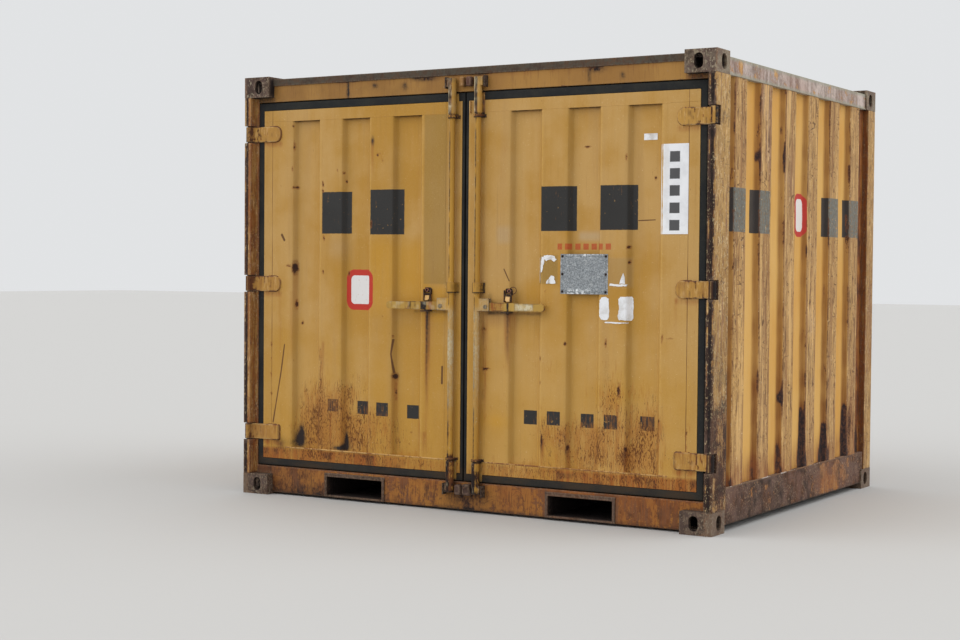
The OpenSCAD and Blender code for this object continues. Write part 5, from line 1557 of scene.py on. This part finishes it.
        # painted highlight: a pale line down the left front of the rod
        pale = ease(dx, -16, -13) * (1 - ease(dx, -11, -8)) * (1 - ease(Y, ROD_Y - 8, ROD_Y - 2)) * ease(Z, 1290, 1320) * (0.3 + 0.8 * m)
        tint = (1 - ease(Z, 1080, 1150)) * ease(Z, 420, 860) * (0.25 + 0.70 * n) * (1 if side == "left" else 0.7) + 0.9 * pale + 0.25 * ease(Z, 2150, 2200) * m
        ends = np.maximum(ease(Z, 2166, 2172), 1 - ease(Z, 274, 282)) * (1 - ease(dx, 3, 10))
        scab = field(X * 2.2 + rx, Z, 1 / 17.0, 118)
        foot = 1 - ease(Z, 290, 330)
        rust = rust + ends * (1.0 + 0.9 * (scab - 0.4)) + foot * (0.45 + 0.9 * (m - 0.4))
        dark = dark + ends * 0.85 * ease(scab, 0.46, 0.60) + 0.55 * foot * ease(m * 0.6 + scab * 0.4, 0.42, 0.62)
        tint = tint + ends * 0.60 * (1 - ease(scab, 0.24, 0.33)) * (1 - 0.6 * foot)
        return {"rust": rust * (1 - hub), "dark": dark, "keep": 0.5 * hub, "tint": tint * (1 - hub) + 0.35 * hub}

    steel(side + "_lock_rod", "rod", "gear_paint", body=side + "_rod", wear=rod_wear, bevel=1.2, step=15, inset=3, axes=(0, 2))

    # flat stays beside the rod's two ends
    for word, lo, hi in (("high", 2166.5, 2285.0), ("low", 172.0, 282.5)):
        bm = bmesh.new()
        boxy(bm, (rx - 25.0, DOOR_Y - 5.2, lo), (rx + 25.5, DOOR_Y + 0.6, hi))
        rounded(bm, 1.4, 2)
        cut_up(bm, 2, list(np.arange(lo + 6, hi, 9.0)))
        me = bm_mesh(bm, side + "_rod_stay_" + word)
        co = coords(me) * 1000
        n = field(co[:, 0] * 2, co[:, 2], 1 / 24.0, 119)
        tip = 1 - ease(np.minimum(co[:, 2] - lo, hi - co[:, 2]), 3, 14)
        rim = ease(np.abs(co[:, 0] - rx), 21.5, 25.0)
        store(me, {"dark": np.clip(0.8 * tip * (0.3 + n) + 0.35 * rim * ease(n, 0.45, 0.7), 0, 1.2), "rust": 0.4 * n + 0.3 * tip,
                   "keep": 0.25 + 0 * n})
        piece(side + "_rod_stay_" + word, me, "guide", side + "_door", weighted=True)

    def handle_wear(X, Y, Z):
        n = field(X, Z, 1 / 20.0, 115)
        m = field(X, Z, 1 / 9.0, 116)
        rim = np.maximum(ease(Z, 1144, 1148), 1 - ease(Z, 1106, 1110))
        if side == "left":
            dark = 1.5 * area(X, Z, -262, -226, 1090, 1160, 3) + 0.9 * rim * area(X, Z, -362, -292, 1138, 1160, 4)
            dark = dark + blob(X, Z, -332, 1130, 5, 18, .9) + blob(X, Z, -300, 1130, 4, 14, .8) + 0.5 * rim * (n > 0.5)
            stain = 0.75 * area(X, Z, -222, -186, 1090, 1160, 5)
            tint = 0.30 * ease(n, 0.5, 0.9)
        else:
            dark = 1.3 * area(X, Z, 288, 299, 1090, 1160, 2) + 0.6 * rim * (n > 0.45)
            dark = dark + 0.6 * (area(X, Z, 336, 452, 1110, 1144, 3) - area(X, Z, 344, 444, 1116, 1138, 3)) * ease(n, 0.3, 0.6)
            stain = 0.8 * area(X, Z, 180, 272, 1090, 1160, 8)
            tint = 0.75 * area(X, Z, 340, 450, 1110, 1144, 6)
        return {"rust": 0.2 * n, "dark": dark, "stain": stain, "tint": tint}

    steel(side + "_handle", "grip", "gear_paint", body=side + "_handle_bar", wear=handle_wear, bevel=1.8, step=6, inset=3, axes=(0, 2))


# ---------------------------------------------------------------- small parts on the right door
def tube(name, pts, radius, sides, body, material, closed=True):
    """A bent round wire through points in mm."""
    n = len(pts)
    P = [Vector(p) for p in pts]
    verts, faces = [], []
    for i, c in enumerate(P):
        d = (P[(i + 1) % n] - P[i - 1]).normalized()
        u = d.cross(Vector((0, 1, 0))).normalized()
        v = d.cross(u)
        for k in range(sides):
            t = 2 * math.pi * k / sides
            verts.append((c + (u * math.cos(t) + v * math.sin(t)) * radius) / 1000)
    for i in range(n):
        j = (i + 1) % n
        for k in range(sides):
            l = (k + 1) % sides
            faces.append((i * sides + k, j * sides + k, j * sides + l, i * sides + l))
    me = bpy.data.meshes.new(name)
    me.from_pydata([tuple(v) for v in verts], [], faces)
    me.update()
    bm = bmesh.new()
    bm.from_mesh(me)
    bmesh.ops.recalc_face_normals(bm, faces=bm.faces)
    bm.to_mesh(me)
    bm.free()
    store(me, {"rust": np.full(len(verts), 0.8), "dark": np.full(len(verts), 0.2)})
    return piece(name, me, material, body, sharp=60)


rng_wire = np.random.default_rng(17)
loop = []
for k in range(44):
    t = 2 * math.pi * k / 44
    r = 19.0 + 1.2 * math.sin(2 * t + 0.6) + 0.5 * (rng_wire.random() - 0.5)
    loop.append((311.5 + 1.15 * r * math.cos(t), -1176.6 - 1.4 * math.sin(t + 0.8) - 1.4 * math.cos(t), 1216.0 + r * math.sin(t)))
tube("seal_wire", loop, 1.7, 8, "right_door", "keeper")


def flange():
    bm = bmesh.new()
    boxy(bm, (31.5, DOOR_Y - 14.0, 2174.0), (36.5, DOOR_Y + 1.0, 2240.0))
    rounded(bm, 1.2, 2)
    cut_up(bm, 2, list(np.arange(2180, 2240, 9.0)))
    me = bm_mesh(bm, "centre_flange")
    store(me, {"keep": np.full(len(me.vertices), 0.9)})
    piece("centre_flange", me, "flap", "right_door", weighted=True)


flange()


# ---------------------------------------------------------------- floor of planks
def planks():
    bm = bmesh.new()
    rows = [(-1109.0, -1046.0, 1431.0)]
    y = -1045.0
    n = 12
    w = (1161.0 + 1045.0) / n
    for k in range(n):
        rows.append((y + k * w, y + (k + 1) * w - 2.0, 1439.0))
    ids = []
    for i, (a, b, x) in enumerate(rows):
        before = len(bm.verts)
        boxy(bm, (-x, a, 137.2), (x, b, 164.8 - 0.5 * (i % 3)))
        ids += [i] * (len(bm.verts) - before)
    rounded(bm, 1.5, 1)
    me = bm_mesh(bm, "floor_planks")
    co = coords(me) * 1000
    tone = [0.5 + 0.5 * math.sin(7.3 * math.floor((v + 1045) / w)) for v in co[:, 1]]
    store(me, {"plank": tone})
    return piece("floor_planks", me, "wood", "container", ["floor_boards"], weighted=True)


planks()


# ---------------------------------------------------------------- the metal plate, labels and what is left of others
def galvanised():
    x0, x1, z0, z1 = 596.0, 876.0, 1203.0, 1413.0
    nx, nz = 46, 36
    xs, zs = np.linspace(x0, x1, nx), np.linspace(z0, z1, nz)
    X, Z = np.meshgrid(xs, zs, indexing="ij")
    edge = np.minimum.reduce([X - x0, x1 - X, Z - z0, z1 - Z])
    D = 2.3 - 1.1 * (1 - ease(edge, 0, 3)) - 1.6 * np.abs(field(X, Z, 1 / 48.0, 121) - 0.5) * ease(edge, 4, 30)
    D += 0.6 * blob(X, Z, 706, 1205, 30, 16)
    front = np.stack([X.ravel(), (DOOR_Y - D).ravel(), Z.ravel()], 1)
    back = np.array([(x0, DOOR_Y + 0.3, z0), (x1, DOOR_Y + 0.3, z0), (x1, DOOR_Y + 0.3, z1), (x0, DOOR_Y + 0.3, z1)])
    f = lambda i, j: i * nz + j
    faces = [(f(i, j), f(i + 1, j), f(i + 1, j + 1), f(i, j + 1)) for i in range(nx - 1) for j in range(nz - 1)]
    b = nx * nz
    faces.append((b, b + 3, b + 2, b + 1))
    faces.append(tuple([f(i, 0) for i in range(nx - 1, -1, -1)] + [b, b + 1]))
    faces.append(tuple([f(i, nz - 1) for i in range(nx)] + [b + 2, b + 3]))
    faces.append(tuple([f(0, j) for j in range(nz)] + [b + 3, b]))
    faces.append(tuple([f(nx - 1, j) for j in range(nz - 1, -1, -1)] + [b + 1, b + 2]))
    me = mesh_of("galvanised_plate", np.concatenate([front, back]) / 1000, faces)
    bm = bmesh.new()
    bm.from_mesh(me)
    bmesh.ops.recalc_face_normals(bm, faces=bm.faces)
    bm.to_mesh(me)
    bm.free()
    bolts = [(x, z) for x in (608, 864) for z in (1215, 1307, 1401)]
    ring = np.zeros_like(X)
    for x, z in bolts:
        ring = np.maximum(ring, 1 - ease(np.hypot(X - x, Z - z), 8, 13))
    line = ease(edge, 7, 12) * (1 - ease(edge, 12, 19)) * 0.7
    scuff = blob(X, Z, 712, 1216, 46, 14, 1.2) + blob(X, Z, 650, 1212, 20, 9, .9) + blob(X, Z, 740, 1402, 60, 8, .8)
    scuff = scuff + 0.8 * (1 - ease(edge, 3, 7)) * field(X, Z, 1 / 30.0, 122)
    tail = np.zeros(4)
    store(me, {"edge": np.concatenate([(0.5 * (1 - ease(edge, 1, 5))).ravel(), np.ones(4)]),
               "line": np.concatenate([np.maximum(line, ring).ravel(), tail]), "scuff": np.concatenate([scuff.ravel(), tail])})
    piece("galvanised_plate", me, "plate", "right_door", ["right_door_plate"])
    bm = bmesh.new()
    for x, z in bolts:
        m4 = Matrix.Translation((x / 1000, (DOOR_Y - 1.6) / 1000, z / 1000)) @ Matrix.Rotation(math.radians(90), 4, "X") @ Matrix.Diagonal((1, 1, 0.5, 1))
        bmesh.ops.create_uvsphere(bm, u_segments=14, v_segments=8, radius=0.0072, matrix=m4)
    me = bm_mesh(bm, "plate_rivets")
    store(me, {"rust": np.full(len(me.vertices), 0.5), "dark": np.full(len(me.vertices), 0.9)})
    piece("plate_rivets", me, "bare", "right_door")


galvanised()


def skin_y(x):
    """How far the right door's face lies behind its outer plane at x, in mm."""
    for k in range(3):
        c = 380 + 350 * k
        d = abs(abs(x) - c)
        if d < 97:
            return RIB_DEPTH * (1 - max(0.0, d - 75) / 22) if d > 75 else RIB_DEPTH
    return 0.0


def patch(name, outline, material, body, thick=0.7, step=6.0, dark=None):
    """A thin label with its own outline in (x, z), laid on the door face and following its folds."""
    xs = [p[0] for p in outline]
    zs_ = [p[1] for p in outline]
    bm = bmesh.new()
    vs = [bm.verts.new((x / 1000, 0, z / 1000)) for x, z in outline]
    bm.faces.new(vs)
    cut_up(bm, 0, list(np.arange(min(xs) + step, max(xs), step)))
    cut_up(bm, 2, list(np.arange(min(zs_) + 24, max(zs_), 24)))
    ret = bmesh.ops.extrude_face_region(bm, geom=bm.faces[:])
    top = [v for v in ret["geom"] if isinstance(v, bmesh.types.BMVert)]
    topset = set(top)
    for v in bm.verts:
        d = skin_y(v.co.x * 1000)
        lift = thick if v in topset else -0.8
        curl = 0.0
        if v in topset:
            curl = 0.9 * float(field(v.co.x * 1000, v.co.z * 1000, 1 / 26.0, 131))
        v.co.y = (DOOR_Y + d - lift - curl) / 1000
    bmesh.ops.recalc_face_normals(bm, faces=bm.faces)
    me = bm_mesh(bm, name)
    co = coords(me) * 1000
    n = field(co[:, 0], co[:, 2], 1 / 22.0, 133)
    store(me, {"dark": np.clip(n * (dark or 0.5), 0, 1)})
    return piece(name, me, material, body, sharp=50)


def ragged(x0, x1, z0, z1, seed, amount=4.0, n=10):
    """Outline of a torn rectangle."""
    r = np.random.default_rng(seed)
    pts = []
    for a, b in (((x0, z0), (x1, z0)), ((x1, z0), (x1, z1)), ((x1, z1), (x0, z1)), ((x0, z1), (x0, z0))):
        for k in range(n):
            t = k / n
            pts.append((a[0] + (b[0] - a[0]) * t + (r.random() - 0.5) * amount, a[1] + (b[1] - a[1]) * t + (r.random() - 0.5) * amount))
    return pts


def frayed(points, seed, amount=3.0, step=8.0):
    """Outline through the points with a torn edge."""
    r = np.random.default_rng(seed)
    out = []
    for i, (ax, az) in enumerate(points):
        bx, bz = points[(i + 1) % len(points)]
        n = max(1, int(math.hypot(bx - ax, bz - az) // step))
        for k in range(n):
            t = k / n
            out.append((ax + (bx - ax) * t + (r.random() - 0.5) * amount, az + (bz - az) * t + (r.random() - 0.5) * amount))
    return out


patch("white_panel", [(1174, 1515), (1326, 1515), (1326, 1973), (1174, 1973)], "panel", "right_door", thick=1.0, step=19)
patch("small_label", [(1063, 1998), (1139, 1998), (1139, 2031), (1063, 2031)], "sticker", "right_door", step=19)
for word, outline, amount, age in (
        ("a", [(838, 1073), (870, 1070), (883, 1080), (885, 1130), (881, 1180), (866, 1190), (840, 1188), (829, 1172), (828, 1092)], 3.0, 0.15),
        ("b", [(934, 1086), (944, 1072), (1002, 1069), (1012, 1082), (1012, 1184), (1002, 1195), (950, 1193), (938, 1182), (942, 1128)], 3.5, 0.15),
        ("c", [(858, 1056), (926, 1053), (992, 1056), (994, 1060), (930, 1061), (862, 1062)], 1.5, 0.5),
        ("d", [(884, 1250), (930, 1246), (984, 1248), (986, 1257), (940, 1257), (886, 1260)], 3.0, 0.4),
        ("e", [(942, 1261), (974, 1260), (972, 1296), (964, 1316), (955, 1296)], 1.5, 0.4),
        ("f", [(476, 1318), (482, 1316), (488, 1340), (496, 1368), (500, 1390), (484, 1398), (478, 1362)], 4.0, 0.5),
        ("g", [(488, 1394), (508, 1376), (532, 1386), (556, 1372), (572, 1384), (560, 1400), (524, 1406), (498, 1404)], 6.0, 0.5),
        ("h", [(508, 1254), (566, 1258), (562, 1272), (556, 1297), (540, 1300), (530, 1284), (510, 1270)], 5.0, 0.8)):
    patch("torn_label_" + word, frayed(outline, 20 + ord(word), amount), "sticker", "right_door", step=7, dark=age)
patch("torn_label_k", ragged(461, 468, 1262, 1392, 13, 4), "sticker", "right_door", step=7, dark=1.6)


# ---------------------------------------------------------------- room, light, camera
def room():
    me = bpy.data.meshes.new("ground")
    s = 60.0
    me.from_pydata([(-s, -s, 0), (s, -s, 0), (s, s, 0), (-s, s, 0)], [], [(0, 1, 2, 3)])
    ob = bpy.data.objects.new("ground", me)
    bpy.context.scene.collection.objects.link(ob)
    g = Mat("ground_plain", specular=0.2)
    g.finish(lin(186, 185, 183), 0.9)
    me.materials.append(g.mat)
    ob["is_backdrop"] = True


room()


def soft_sun(name, toward, strength, spread, colour=(1, 1, 1)):
    light = bpy.data.lights.new(name, "SUN")
    light.energy = strength
    light.angle = math.radians(spread)
    light.color = colour
    ob = bpy.data.objects.new(name, light)
    bpy.context.scene.collection.objects.link(ob)
    ob.rotation_euler = (-Vector(toward)).to_track_quat("-Z", "Y").to_euler()
    return ob


soft_sun("soft_left_front", (-0.60, -0.70, 0.62), 0.85, 60, (1.0, 0.99, 0.97))
soft_sun("soft_right_back", (0.80, 0.42, 0.60), 0.95, 60, (1.0, 0.99, 0.98))
soft_sun("soft_top", (0.0, -0.15, 1.0), 0.85, 90)

world = bpy.data.worlds.new("studio")
world.use_nodes = True
world.node_tree.nodes["Background"].inputs[0].default_value = (0.97, 0.985, 1.0, 1)
world.node_tree.nodes["Background"].inputs[1].default_value = 0.78
scene = bpy.context.scene
scene.world = world
scene.view_settings.view_transform = "Standard"
scene.view_settings.look = "None"
scene.view_settings.exposure = 0.0
scene.view_settings.gamma = 1.0


def camera():
    cam = bpy.data.cameras.new("camera")
    cam.sensor_fit = "HORIZONTAL"
    cam.sensor_width = 36.0
    cam.lens = 63.662
    cam.clip_end = 200.0
    ob = bpy.data.objects.new("camera", cam)
    bpy.context.scene.collection.objects.link(ob)
    az, el, roll = (math.radians(v) for v in (31.315, 1.7317, -0.461))
    fwd = Vector((-math.sin(az) * math.cos(el), math.cos(az) * math.cos(el), -math.sin(el)))
    right = Vector((math.cos(az), math.sin(az), 0))
    down = fwd.cross(right)
    r2 = math.cos(roll) * right + math.sin(roll) * down
    d2 = -math.sin(roll) * right + math.cos(roll) * down
    m = Matrix.Identity(4)
    for i in range(3):
        m[i][0], m[i][1], m[i][2] = r2[i], -d2[i], -fwd[i]
    m[0][3], m[1][3], m[2][3] = 4.888156, -9.036873, 1.332138
    ob.matrix_world = m
    bpy.context.scene.camera = ob


camera()

lo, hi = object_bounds()
{"cad": [list(cad_lo), list(cad_hi)], "visual": [list(lo), list(hi)]}
